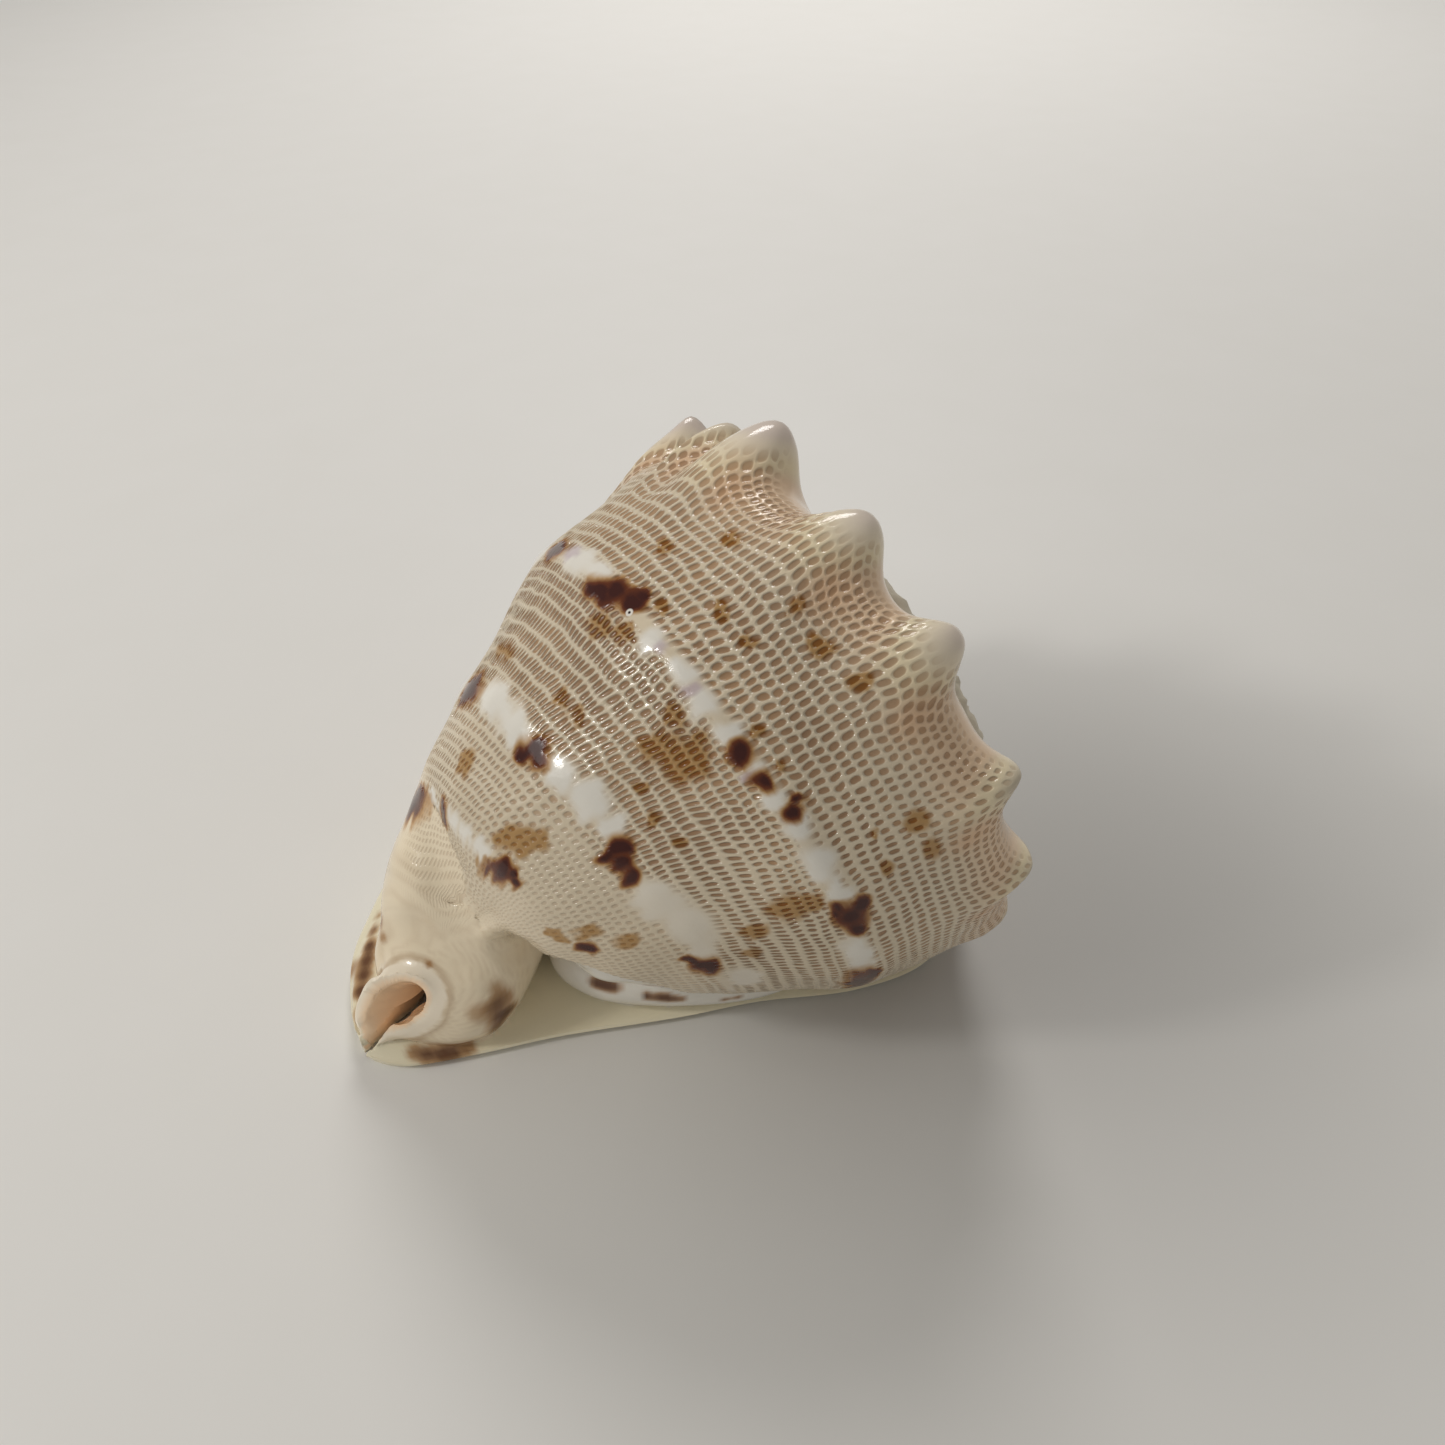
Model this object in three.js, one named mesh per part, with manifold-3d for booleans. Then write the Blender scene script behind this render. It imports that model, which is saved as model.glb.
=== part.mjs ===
// A horned helmet shell lying on its aperture. Millimetres, +Z up, resting on Z = 0, with the spire
// toward +X, the flared outer lip toward +Y and the siphonal canal toward -X.
// The body is one logarithmic coil: every turn is the same outline, enlarged about the spire tip.
import * as THREE from 'three';
import Module from 'manifold-3d';

// The coil
const APEX = new THREE.Vector3(75.5, -9.4, 58.5); // tip of the spire
const AXIS_TILT = 14.4; // degrees that the coil axis rises toward the spire
const WHORL_GROWTH = 1.43; // enlargement in one full turn
const LIP_ANGLE = 135; // degrees round the axis from the top of the back, where the last turn ends
const BODY_STEP = 12; // widest gap between columns of the last turn, in degrees
const BASE_SQUARENESS = 2.12; // power of the rounded square under the coil, where 2 is a circle
const SPIRE_STEP = 32;
const SPIRE_TURNS = 4;
const SPIRE_SHRINK = 0.985; // older turns lie just under the turn that covers them
const TURN_GAP = 3; // degrees that a turn stops short of a full circle

// The outline of a turn at the top of the back: depth below the spire tip along the axis, radius,
// and how far a full knob pushes that row up the axis and outward
const OUTLINE = [
  { depth: 17.5, radius: 48.5, up: 0, out: 0 },
  { depth: 20.5, radius: 56, up: 3, out: 1 },
  { depth: 24, radius: 62.5, up: 8, out: 2.5 },
  { depth: 29, radius: 66.5, up: 10.5, out: 4 },
  { depth: 35, radius: 67.6, up: 6, out: 4 },
  { depth: 42, radius: 66.8, up: 2, out: 2 },
  { depth: 50, radius: 65.7, up: 0, out: 0 },
  { depth: 58, radius: 64.3, up: 0, out: 0 },
  { depth: 64.5, radius: 62.9, up: 0, out: 0 },
  { depth: 71, radius: 59.8, up: 0, out: 0 },
  { depth: 80, radius: 54, up: 0, out: 0 },
  { depth: 87.5, radius: 49.8, up: 0, out: 0 },
  { depth: 93.3, radius: 46.6, up: 0, out: 0 },
  { depth: 99, radius: 43.2, up: 0, out: 0 },
  { depth: 107, radius: 38.1, up: 0, out: 0 },
  { depth: 113.3, radius: 33.2, up: 0, out: 0 },
  { depth: 118.5, radius: 28, up: 0, out: 0 },
  { depth: 121.5, radius: 20, up: 0, out: 0 },
];
const TIP_UP = 10.5; // the largest of those pushes
const TIP_OUT = 4;
const LID_DEPTH = 14; // where the inner lid of a turn meets the axis
const MIDDLE_DEPTH = 62;
const END_DEPTH = 112;

// Away from the near side the last turn does not end in an edge but runs on into the neck
const FLOW_START = { depth: 113.3, radius: 33.2 };
const FLOW_END = { depth: 127, radius: 3 }; // depth without growth
const FLOW_ANGLES = [-56, -28]; // where it comes in

// Shoulder knobs: angle round the axis, size, half width in degrees, how blunt the tip is, and how
// far the tip pushes outward compared with a plain knob
const KNOBS = [
  [126, 0.9, 5, 2, 1.2], [101, 1, 5, 2, 1.2], [76, 0.8, 4.5, 2, 0.9], [50, 1.13, 2.9, 1.6, 1.8],
  [27, 0.8, 2.7, 1.3, 1], [13.1, 1.12, 6, 2.3, 1], [-14.1, 0.88, 6.2, 2.3, 1], [-38, 0.87, 6.2, 2.3, 1],
  [-64.8, 0.68, 4.6, 1.4, 1], [-89, 0.58, 4.2, 1.3, 1], [-115, 0.35, 4.8, 1.6, 1], [-144, 0.45, 5, 1.6, 1],
  [-170, 0.5, 5, 1.6, 1], [-197, 0.5, 5, 1.6, 1],
];
const KNOB_COLUMNS = [-1.5, -0.6, 0, 0.6, 1.5]; // columns at a knob, in half widths
const TIP_POWER = 4; // how closely that extra push keeps to the tip
const SPIRE_PUSH = 0.5; // the worn shoulder of the older turns is pushed out evenly by this much of a knob

// Low bosses on the spiral bands of the back
const BANDS = [64.5, 93.3];
const BOSS_HEIGHT = 1;
const BOSS_HALF_WIDTH = 4.5;
const BOSS_HALF_DEPTH = 5;
const BOSSES = [
  { band: 0, angles: [48, 15, -10, -28, -58, -88] },
  { band: 1, angles: [52, 18, -12, -24, -60] },
];

// The spiral hollow inside the last turns
const WALL = 3.5;
const HOLLOW_TURNS = 2;
const HOLLOW_STEP = 26;
const HOLLOW_END = 132; // just inside the lip
const HOLLOW_LID_DEPTH = 30;
const HOLLOW_FLOOR = 5; // thickness of the base under it
const PASS = 1; // degrees that the hollow of a turn runs on into the next

// The base: plan outlines of the shield edge (toward -Y) and the lip edge (toward +Y), both as
// [distance from the spire tip along X, distance from it along Y]
const SHIELD_EDGE = [
  [-151, 1.5], [-147, -3.3], [-142, -6.7], [-128, -11.6], [-110, -17], [-84, -26.7],
  [-66, -32.5], [-43, -42], [-22, -43.5], [-8, -32], [-2, -15], [0, 2],
];
const LIP_EDGE = [
  [-151.5, 4], [-150.4, 14], [-146, 27.5], [-138.4, 37.2], [-127, 48.5], [-112, 60],
  [-92, 71], [-68, 79], [-42, 82.5], [-22, 79.5], [-8, 68], [-2, 52], [0, 38],
];
const BASE_STATIONS = 20;
const SHIELD_THICKNESS = 2;
const LIP_THICKNESS = 9;
const TIP_LIP_THICKNESS = 4;
const TIP_LENGTH = 22; // stretch near the canal over which the lip thins
const DISH = 2.2; // how far the middle of the underside is hollowed
const COIL_TRIM = 1; // the coil is cut off this far above the table
const NECK_TRIM = 1.5;
const TRIM_BOX = 600; // larger than the shell

// Places across the base, as fractions of its width from the shield edge or from the lip edge
const SHIELD_FLAT = [0.02, 0.2];
const DISH_PLACES = { start: 0.4, deep: 0.55, end: 0.75 };
const DISH_WIDTHS = [15, 60]; // the dish fades in over these widths of the base
const SHIELD_SLOPE = [0.12, 0.35];
const LIP_FLAT = 0.13;
const LIP_INSIDE = 0.6; // how far in the lip runs under the body
const LIP_SINK = 2; // how far it rises into the body there

// The aperture: a slit along the base, [x, y of its middle, half width], as the outlines above
const APERTURE = [
  [-14, 44, 2], [-25, 43, 5], [-45, 41.5, 6.5], [-65, 38, 6.5], [-85, 32, 6.2],
  [-105, 23, 5.5], [-120, 14, 4], [-132, 7.5, 2.2], [-140, 4.4, 1.2], [-146, 2.9, 0.7], [-154, 2, 0.5],
];
const APERTURE_STATIONS = 16;
const APERTURE_TOP = 9;
const APERTURE_BOTTOM = -2; // passes through the underside
const APERTURE_FLARE = 1.3; // widening at the underside
const LIP_TEETH = { count: 8, from: -32, to: -112, size: [2.6, 5, 2.3], reach: 3 };
const COLUMELLA_FOLDS = { count: 10, from: -28, to: -116, size: [1.6, 7, 2], reach: 2.5 };
const TOOTH_HEIGHT = 2.6;
const TOOTH_DETAIL = [6, 4];

// The neck, the bore of its canal and the low ridge of an older turn beside it: rings given as
// [x, y, height, half width, half height of the upper side where that differs]
const NECK = [
  [-100, 18.6, 33, 21, 31], [-109.8, 16, 27, 20.6, 28], [-117.8, 12.5, 21, 19.8, 25],
  [-123.8, 7.1, 16.5, 18.4, 22.3], [-128.9, 3.4, 14, 17.6, 19.6], [-133.4, 0.8, 13.4, 15.2, 16.8],
  [-137.4, 0.3, 14.6, 12.6, 13.6], [-140.6, 1, 16.4, 10],
];
const BORE = [
  [-96, 20, 22, 8], [-110, 13, 15, 6.5], [-122, 6.5, 10.5, 5.4], [-131, 2.6, 9.8, 4.8],
  [-137.4, 1.5, 12.2, 4.6], [-141.2, 0.3, 16.8, 6],
];
const RIDGE = [
  [-92, 8, 9, 7], [-97, -1.1, 9, 8], [-96, -6.8, 9, 8], [-91, -12.7, 9, 8], [-78.2, -21, 9, 8],
  [-63.7, -27.7, 9, 7.5], [-48, -31, 9, 6],
];
const RING_SIDES = 18;

// The rim of the canal, seen along the canal: its edges as [angle, radius]. Both run out into a tip at
// one side, where the rim is slit.
const RIM_FACING = new THREE.Vector3(-0.623, -0.703, 0.342);
const RIM_SHARE = 0.36; // share of the neck over which it takes the shape of the rim
const FACING_SHARE = 0.8; // share over which it turns to face as the rim does
const OUTER_RIM = [
  [-180, 8.4], [-158, 7.7], [-129, 7.3], [-99, 8.6], [-83, 9.8], [-73, 11.3], [-66, 14.5], [-62, 18.6],
  [-51, 16], [-35, 13.6], [-19, 11.6], [5, 9], [52, 7.8], [80, 8], [107, 9.3], [125, 10.1], [142, 10.4],
  [159, 9.8], [180, 8.4],
];
const INNER_RIM = [
  [-180, 5.3], [-140, 4], [-97, 5.2], [-78, 6.1], [-66, 7.4], [-60, 18.4], [-54, 14.2], [-46, 12.2],
  [-31, 9.8], [-12, 6.9], [30, 5], [71, 5], [101, 6.3], [121, 7.4], [141, 7.7], [153, 7.3], [170, 6.1],
  [180, 5.3],
];
const COLUMELLA = [
  [-2, 0, 58, 3.5], [-20, 0, 53.4, 12], [-60, 0, 43, 15],
  [-84, 0, 37, 12], [-104, 0, 31, 9], [-116, 3, 24, 8],
];

const SHELL_COLOUR = 0xd9c3aa;
const SHELL_ROUGHNESS = 0.3;

const wasm = await Module();
wasm.setup();

const alongAxis = new THREE.Vector3(1, 0, 0).applyAxisAngle(
  new THREE.Vector3(0, 1, 0), -THREE.MathUtils.degToRad(AXIS_TILT));
const towardLip = new THREE.Vector3(0, 1, 0);
const towardBack = new THREE.Vector3().crossVectors(alongAxis, towardLip);

// Smooth value at x from [x, value] pairs, sorted either way
function interpolate(pairs, x) {
  const last = pairs.length - 1;
  const rising = pairs[last][0] > pairs[0][0];
  const ordered = rising ? pairs : [...pairs].reverse();
  const clamped = THREE.MathUtils.clamp(x, ordered[0][0], ordered[last][0]);
  let i = 0;
  while (i < last - 1 && ordered[i + 1][0] < clamped) i += 1;
  const slope = (k) => {
    const before = ordered[Math.max(k - 1, 0)];
    const after = ordered[Math.min(k + 1, last)];
    return (after[1] - before[1]) / (after[0] - before[0]);
  };
  const span = ordered[i + 1][0] - ordered[i][0];
  const f = (clamped - ordered[i][0]) / span;
  const [y0, y1] = [ordered[i][1], ordered[i + 1][1]];
  const [m0, m1] = [slope(i) * span, slope(i + 1) * span];
  return (2 * f ** 3 - 3 * f ** 2 + 1) * y0 + (f ** 3 - 2 * f ** 2 + f) * m0
    + (3 * f ** 2 - 2 * f ** 3) * y1 + (f ** 3 - f ** 2) * m1;
}

// Solids from vertices and triangles, turned so that their faces point out
function makeSolid(vertices, triangles) {
  let volume = 0;
  for (const [a, b, c] of triangles) {
    volume += vertices[a].dot(new THREE.Vector3().crossVectors(vertices[b], vertices[c]));
  }
  const outward = volume > 0 ? triangles : triangles.map(([a, b, c]) => [a, c, b]);
  return new wasm.Manifold(new wasm.Mesh({
    numProp: 3,
    vertProperties: new Float32Array(vertices.flatMap((v) => v.toArray())),
    triVerts: new Uint32Array(outward.flat()),
  }));
}

// A solid through closed rings of equal length, with a fan over each end
function loftSolid(rings) {
  const sides = rings[0].length;
  const vertices = rings.flat();
  const triangles = [];
  for (let i = 0; i + 1 < rings.length; i += 1) {
    for (let j = 0; j < sides; j += 1) {
      const next = (j + 1) % sides;
      const [a, b] = [i * sides + j, i * sides + next];
      triangles.push([a, b, b + sides], [a, b + sides, a + sides]);
    }
  }
  for (const [ring, start] of [[rings[0], 0], [rings.at(-1), (rings.length - 1) * sides]]) {
    const centre = ring.reduce((sum, p) => sum.add(p), new THREE.Vector3()).divideScalar(sides);
    const hub = vertices.push(centre) - 1;
    for (let j = 0; j < sides; j += 1) {
      const edge = [start + j, start + (j + 1) % sides];
      triangles.push(start === 0 ? [hub, edge[1], edge[0]] : [hub, edge[0], edge[1]]);
    }
  }
  return makeSolid(vertices, triangles);
}

// A wedge of the coil between half-plane columns, closed down to the axis
function wedgeSolid(columns, axisPoints) {
  const rows = columns[0].length;
  const vertices = [...axisPoints, ...columns.flat()];
  const [lid, middle, end] = [0, 1, 2];
  const at = (column, row) => axisPoints.length + column * rows + row;
  const triangles = [];
  for (let c = 0; c + 1 < columns.length; c += 1) {
    triangles.push([lid, at(c, 0), at(c + 1, 0)]);
    for (let r = 0; r + 1 < rows; r += 1) {
      triangles.push([at(c, r), at(c, r + 1), at(c + 1, r + 1)]);
      triangles.push([at(c, r), at(c + 1, r + 1), at(c + 1, r)]);
    }
    triangles.push([at(c, rows - 1), end, at(c + 1, rows - 1)]);
  }
  for (const c of [0, columns.length - 1]) {
    const rim = [lid, ...columns[c].map((_, r) => at(c, r)), end];
    for (let i = 0; i + 1 < rim.length; i += 1) {
      triangles.push(c === 0 ? [middle, rim[i + 1], rim[i]] : [middle, rim[i], rim[i + 1]]);
    }
  }
  return makeSolid(vertices, triangles);
}

function unite(solids) {
  return solids.reduce((whole, solid) => whole.add(solid));
}

function growth(angle) {
  return WHORL_GROWTH ** (angle / 360);
}

function axisPoint(depth) {
  return APEX.clone().addScaledVector(alongAxis, -depth);
}

// How far the underside stands out from a circle, fading in below the axis
function fullness(turn) {
  if (Math.cos(turn) > 0) return 1;
  const power = BASE_SQUARENESS;
  return (Math.abs(Math.cos(turn)) ** power + Math.abs(Math.sin(turn)) ** power) ** (-1 / power);
}

function coilPoint(angle, depth, radius) {
  const turn = THREE.MathUtils.degToRad(angle);
  const reach = radius * growth(angle) * fullness(turn);
  return axisPoint(depth * growth(angle))
    .addScaledVector(towardBack, Math.cos(turn) * reach)
    .addScaledVector(towardLip, Math.sin(turn) * reach);
}

function bump(distance, halfWidth) {
  return Math.exp(-((distance / halfWidth) ** 2));
}

// Angle within the last turn, so that older turns repeat its knobs
function withinLastTurn(angle) {
  return LIP_ANGLE - THREE.MathUtils.euclideanModulo(LIP_ANGLE - angle, 360);
}

// How far the nearest knob pushes its rows, and how much further outward its tip, in full knobs
function knobPush(angle) {
  const here = withinLastTurn(angle);
  let [size, share] = [0, 1];
  for (const [place, full, width, blunt, outward] of KNOBS) {
    const reached = full * Math.exp(-(Math.abs((here - place) / width) ** blunt));
    if (reached > size) [size, share] = [reached, outward];
  }
  return { size, extra: size * (share - 1) };
}

function bossLift(angle, depth) {
  let lift = 0;
  for (const { band, angles } of BOSSES) {
    for (const bossAngle of angles) {
      lift = Math.max(lift, BOSS_HEIGHT * bump(angle - bossAngle, BOSS_HALF_WIDTH)
        * bump(depth - BANDS[band], BOSS_HALF_DEPTH));
    }
  }
  return lift;
}

function bodyColumn(angle) {
  const { size, extra } = knobPush(angle);
  const share = THREE.MathUtils.smoothstep(angle, ...FLOW_ANGLES);
  const flowLength = OUTLINE.at(-1).depth - FLOW_START.depth;
  return OUTLINE.map(({ depth, radius, up, out }) => {
    const past = (depth - FLOW_START.depth) / flowLength;
    if (past <= 0) {
      const tip = TIP_OUT * (up / TIP_UP) ** TIP_POWER;
      const reach = radius + size * out + extra * tip + bossLift(angle, depth);
      return coilPoint(angle, depth - size * up, reach);
    }
    const flowDepth = THREE.MathUtils.lerp(FLOW_START.depth, FLOW_END.depth / growth(angle), past);
    const flowRadius = THREE.MathUtils.lerp(FLOW_START.radius, FLOW_END.radius, past);
    return coilPoint(
      angle, THREE.MathUtils.lerp(depth, flowDepth, share), THREE.MathUtils.lerp(radius, flowRadius, share));
  });
}

function spireColumn(angle) {
  return OUTLINE.map(({ depth, radius, up, out }) => coilPoint(
    angle, depth - SPIRE_PUSH * up, radius + SPIRE_PUSH * out));
}

// Every other row of the same outline moved in by the wall, without knobs and bosses
function hollowColumn(angle) {
  const inset = WALL / growth(angle);
  const rows = OUTLINE.filter((_, i) => i % 2 === 1).map(({ depth, radius }) => (
    new THREE.Vector2(depth, radius)));
  return rows.map(({ x: depth, y: radius }, i) => {
    const run = new THREE.Vector2().subVectors(
      rows[Math.min(i + 1, rows.length - 1)], rows[Math.max(i - 1, 0)]).normalize();
    return coilPoint(angle, depth + run.y * inset, radius - run.x * inset);
  });
}

// Angles at even steps, and angles that also pass through every knob of the last turn
function evenAngles(from, to, step) {
  const count = Math.ceil((to - from) / step);
  return Array.from({ length: count + 1 }, (_, i) => THREE.MathUtils.lerp(from, to, i / count));
}

function knobAngles(from, to) {
  const fixed = [from, to];
  for (const [place, , width] of KNOBS) {
    fixed.push(...KNOB_COLUMNS.map((offset) => place + offset * width));
  }
  const ordered = fixed.filter((angle) => angle >= from && angle <= to).sort((a, b) => a - b);
  return ordered.flatMap((angle, i) => (
    i === 0 ? [angle] : evenAngles(ordered[i - 1], angle, BODY_STEP).slice(1)));
}

function coilSolid(angles, column, axisDepths) {
  return wedgeSolid(angles.map(column), axisDepths.map(axisPoint));
}

// One turn: 0 is the body whorl, 1 and up are the older turns of the spire. A turn stops just short
// of a full circle, and the next older turn runs on a little under its start.
function turnEnd(turnsBack) {
  return LIP_ANGLE - (360 - 2 * TURN_GAP) * turnsBack;
}

function turnStart(turnsBack) {
  return turnEnd(turnsBack) - 360 + TURN_GAP;
}

function bodySolid() {
  const angles = knobAngles(turnStart(0), turnEnd(0));
  return coilSolid(angles, bodyColumn, [LID_DEPTH, MIDDLE_DEPTH, END_DEPTH]);
}

function spireTurn(turnsBack) {
  const shrink = SPIRE_SHRINK ** turnsBack;
  const column = (angle) => spireColumn(angle).map(
    (point) => point.sub(APEX).multiplyScalar(shrink).add(APEX));
  const scale = growth(-360 * turnsBack) * shrink;
  const depths = [LID_DEPTH, MIDDLE_DEPTH, END_DEPTH].map((depth) => depth * scale);
  return coilSolid(evenAngles(turnStart(turnsBack), turnEnd(turnsBack), SPIRE_STEP), column, depths);
}

// The space inside a turn, open into the turns before and after it
function hollowSolid(turnsBack) {
  const from = turnStart(turnsBack) + (turnsBack === HOLLOW_TURNS - 1 ? HOLLOW_STEP : -PASS);
  const to = turnsBack === 0 ? HOLLOW_END : turnEnd(turnsBack) + PASS;
  const scale = growth(-360 * turnsBack);
  const depths = [HOLLOW_LID_DEPTH, MIDDLE_DEPTH, END_DEPTH].map((depth) => depth * scale);
  return coilSolid(evenAngles(from, to, HOLLOW_STEP), hollowColumn, depths);
}

// A solid from a three.js shape, with its shared corners joined
function solidFrom(geometry) {
  const positions = geometry.getAttribute('position');
  const corners = [];
  const lookup = new Map();
  const indices = Array.from({ length: positions.count }, (_, i) => {
    const corner = new THREE.Vector3().fromBufferAttribute(positions, i);
    const key = corner.toArray().map((value) => value.toFixed(4)).join();
    if (!lookup.has(key)) lookup.set(key, corners.push(corner) - 1);
    return lookup.get(key);
  });
  const triangles = [];
  for (let i = 0; i < geometry.index.count; i += 3) {
    const triangle = [0, 1, 2].map((k) => indices[geometry.index.getX(i + k)]);
    if (new Set(triangle).size === 3) triangles.push(triangle);
  }
  return makeSolid(corners, triangles);
}

// Everything above a height
function above(height) {
  const size = TRIM_BOX;
  const box = new THREE.BoxGeometry(size, size, size);
  return solidFrom(box.translate(0, 0, height + size / 2));
}

// One section of the base across Y: flat bands near both edges, a dished middle and a rolled lip
function baseSection(x) {
  const shieldY = interpolate(SHIELD_EDGE, x);
  const lipY = interpolate(LIP_EDGE, x);
  const width = lipY - shieldY;
  const tipDistance = x - SHIELD_EDGE[0][0];
  const lip = THREE.MathUtils.lerp(
    TIP_LIP_THICKNESS, LIP_THICKNESS, THREE.MathUtils.smoothstep(tipDistance, 0, TIP_LENGTH));
  const roll = Math.min(lip / 2, width / 6);
  const dish = DISH * THREE.MathUtils.smoothstep(width, ...DISH_WIDTHS);
  const across = (fraction) => shieldY + fraction * width;
  const underside = [
    [shieldY, SHIELD_THICKNESS / 2], [across(SHIELD_FLAT[0]), 0], [across(SHIELD_FLAT[1]), 0],
    [across(DISH_PLACES.start), dish / 2], [across(DISH_PLACES.deep), dish],
    [across(DISH_PLACES.end), dish], [lipY - Math.max(LIP_FLAT * width, 1.4 * roll), 0],
  ];
  const lipRoll = [
    [lipY - roll, 0], [lipY - 0.3 * roll, 0.15 * lip], [lipY, 0.5 * lip],
    [lipY - 0.3 * roll, 0.85 * lip], [lipY - roll, lip],
  ];
  const topside = [
    [lipY - LIP_FLAT * width - roll, lip + LIP_SINK], [across(LIP_INSIDE), lip + LIP_SINK],
    [across(SHIELD_SLOPE[1]), 2.5 * SHIELD_THICKNESS], [across(SHIELD_SLOPE[0]), 1.5 * SHIELD_THICKNESS],
    [across(SHIELD_FLAT[0]), SHIELD_THICKNESS],
  ];
  const outline = [...underside, ...lipRoll, ...topside];
  return outline.map(([y, z]) => new THREE.Vector3(APEX.x + x, APEX.y + y, z));
}

function baseSolid() {
  const [start, end] = [SHIELD_EDGE[0][0], SHIELD_EDGE.at(-1)[0]];
  const sections = [];
  for (let i = 0; i <= BASE_STATIONS; i += 1) {
    const eased = 0.5 - 0.5 * Math.cos(Math.PI * i / BASE_STATIONS);
    sections.push(baseSection(THREE.MathUtils.lerp(start, end, eased)));
  }
  return loftSolid(sections);
}

function apertureMiddle(x) {
  return interpolate(APERTURE.map(([station, y]) => [station, y]), x);
}

function apertureHalfWidth(x) {
  return interpolate(APERTURE.map(([station, , halfWidth]) => [station, halfWidth]), x);
}

function apertureSolid() {
  const [start, end] = [APERTURE[0][0], APERTURE.at(-1)[0]];
  const sections = [];
  for (let i = 0; i <= APERTURE_STATIONS; i += 1) {
    const x = THREE.MathUtils.lerp(start, end, i / APERTURE_STATIONS);
    const middle = apertureMiddle(x);
    const half = apertureHalfWidth(x);
    const outline = [
      [middle - APERTURE_FLARE * half, APERTURE_BOTTOM], [middle - half, DISH],
      [middle - half, APERTURE_TOP], [middle + half, APERTURE_TOP],
      [middle + half, DISH], [middle + APERTURE_FLARE * half, APERTURE_BOTTOM],
    ];
    sections.push(outline.map(([y, z]) => new THREE.Vector3(APEX.x + x, APEX.y + y, z)));
  }
  return loftSolid(sections);
}

// A tube through rings, whose end takes the shape of a rim if there is one
function tubeSolid(stations, rim) {
  const last = stations.length - 1;
  const centres = stations.map(([x, y, z]) => new THREE.Vector3(APEX.x + x, APEX.y + y, z));
  const rings = stations.map(([, , , wide, high = wide], i) => {
    const forward = new THREE.Vector3().subVectors(
      centres[Math.min(i + 1, last)], centres[Math.max(i - 1, 0)]).normalize();
    const facing = THREE.MathUtils.clamp(1 - (1 - i / last) / FACING_SHARE, 0, 1);
    if (rim) forward.lerp(RIM_FACING, facing).normalize();
    const share = rim ? THREE.MathUtils.smoothstep(i / last, 1 - RIM_SHARE, 1) : 0;
    const side = new THREE.Vector3().crossVectors(forward, new THREE.Vector3(0, 0, 1)).normalize();
    const rise = new THREE.Vector3().crossVectors(side, forward);
    return Array.from({ length: RING_SIDES }, (_, k) => {
      const degrees = 360 * k / RING_SIDES - 180;
      const [cosine, sine] = [Math.cos, Math.sin].map((f) => f(THREE.MathUtils.degToRad(degrees)));
      const reach = rim ? interpolate(rim, degrees) : 0;
      return centres[i].clone()
        .addScaledVector(side, cosine * THREE.MathUtils.lerp(wide, reach, share))
        .addScaledVector(rise, sine * THREE.MathUtils.lerp(sine > 0 ? high : wide, reach, share));
    });
  });
  return loftSolid(rings);
}

// Rounded teeth or folds along one side of the aperture
function toothRow({ count, from, to, size, reach }, side) {
  const teeth = [];
  for (let i = 0; i < count; i += 1) {
    const x = THREE.MathUtils.lerp(from, to, i / (count - 1));
    const y = apertureMiddle(x) + side * (apertureHalfWidth(x) + size[1] - reach);
    const tooth = new THREE.SphereGeometry(1, ...TOOTH_DETAIL).scale(...size)
      .translate(APEX.x + x, APEX.y + y, TOOTH_HEIGHT);
    teeth.push(solidFrom(tooth));
  }
  return unite(teeth);
}

function spireSolid() {
  const turns = [];
  for (let turn = 1; turn <= SPIRE_TURNS; turn += 1) {
    const solid = spireTurn(turn);
    turns.push(turn < HOLLOW_TURNS ? solid.subtract(hollowSolid(turn)) : solid);
  }
  return unite(turns);
}

function shellSolid() {
  const body = bodySolid().intersect(above(COIL_TRIM));
  const neck = tubeSolid(NECK, OUTER_RIM).intersect(above(NECK_TRIM));
  const opened = unite([body, baseSolid(), neck, tubeSolid(RIDGE)])
    .subtract(hollowSolid(0).intersect(above(HOLLOW_FLOOR)))
    .subtract(apertureSolid())
    .subtract(tubeSolid(BORE, INNER_RIM));
  const teeth = unite([toothRow(LIP_TEETH, 1), toothRow(COLUMELLA_FOLDS, -1)]);
  return unite([opened, spireSolid(), tubeSolid(COLUMELLA), teeth]);
}

function toGeometry(solid) {
  const mesh = solid.getMesh();
  const geometry = new THREE.BufferGeometry();
  geometry.setAttribute('position', new THREE.BufferAttribute(mesh.vertProperties, 3));
  geometry.setIndex(new THREE.BufferAttribute(mesh.triVerts, 1));
  geometry.computeVertexNormals();
  return geometry;
}

const part = new THREE.Group();
const shell = new THREE.Mesh(
  toGeometry(shellSolid()),
  new THREE.MeshStandardMaterial({ color: SHELL_COLOUR, roughness: SHELL_ROUGHNESS, metalness: 0 }));
shell.name = 'shell';
part.add(shell);

export default part;
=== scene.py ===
# A horned helmet shell lying on its aperture, on a pale floor. Lengths are in millimetres until the
# mesh is made. The coil, the base and the neck repeat the values of the solid model.
import math

import bpy
import numpy as np
from mathutils import Matrix, Vector, kdtree


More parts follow.
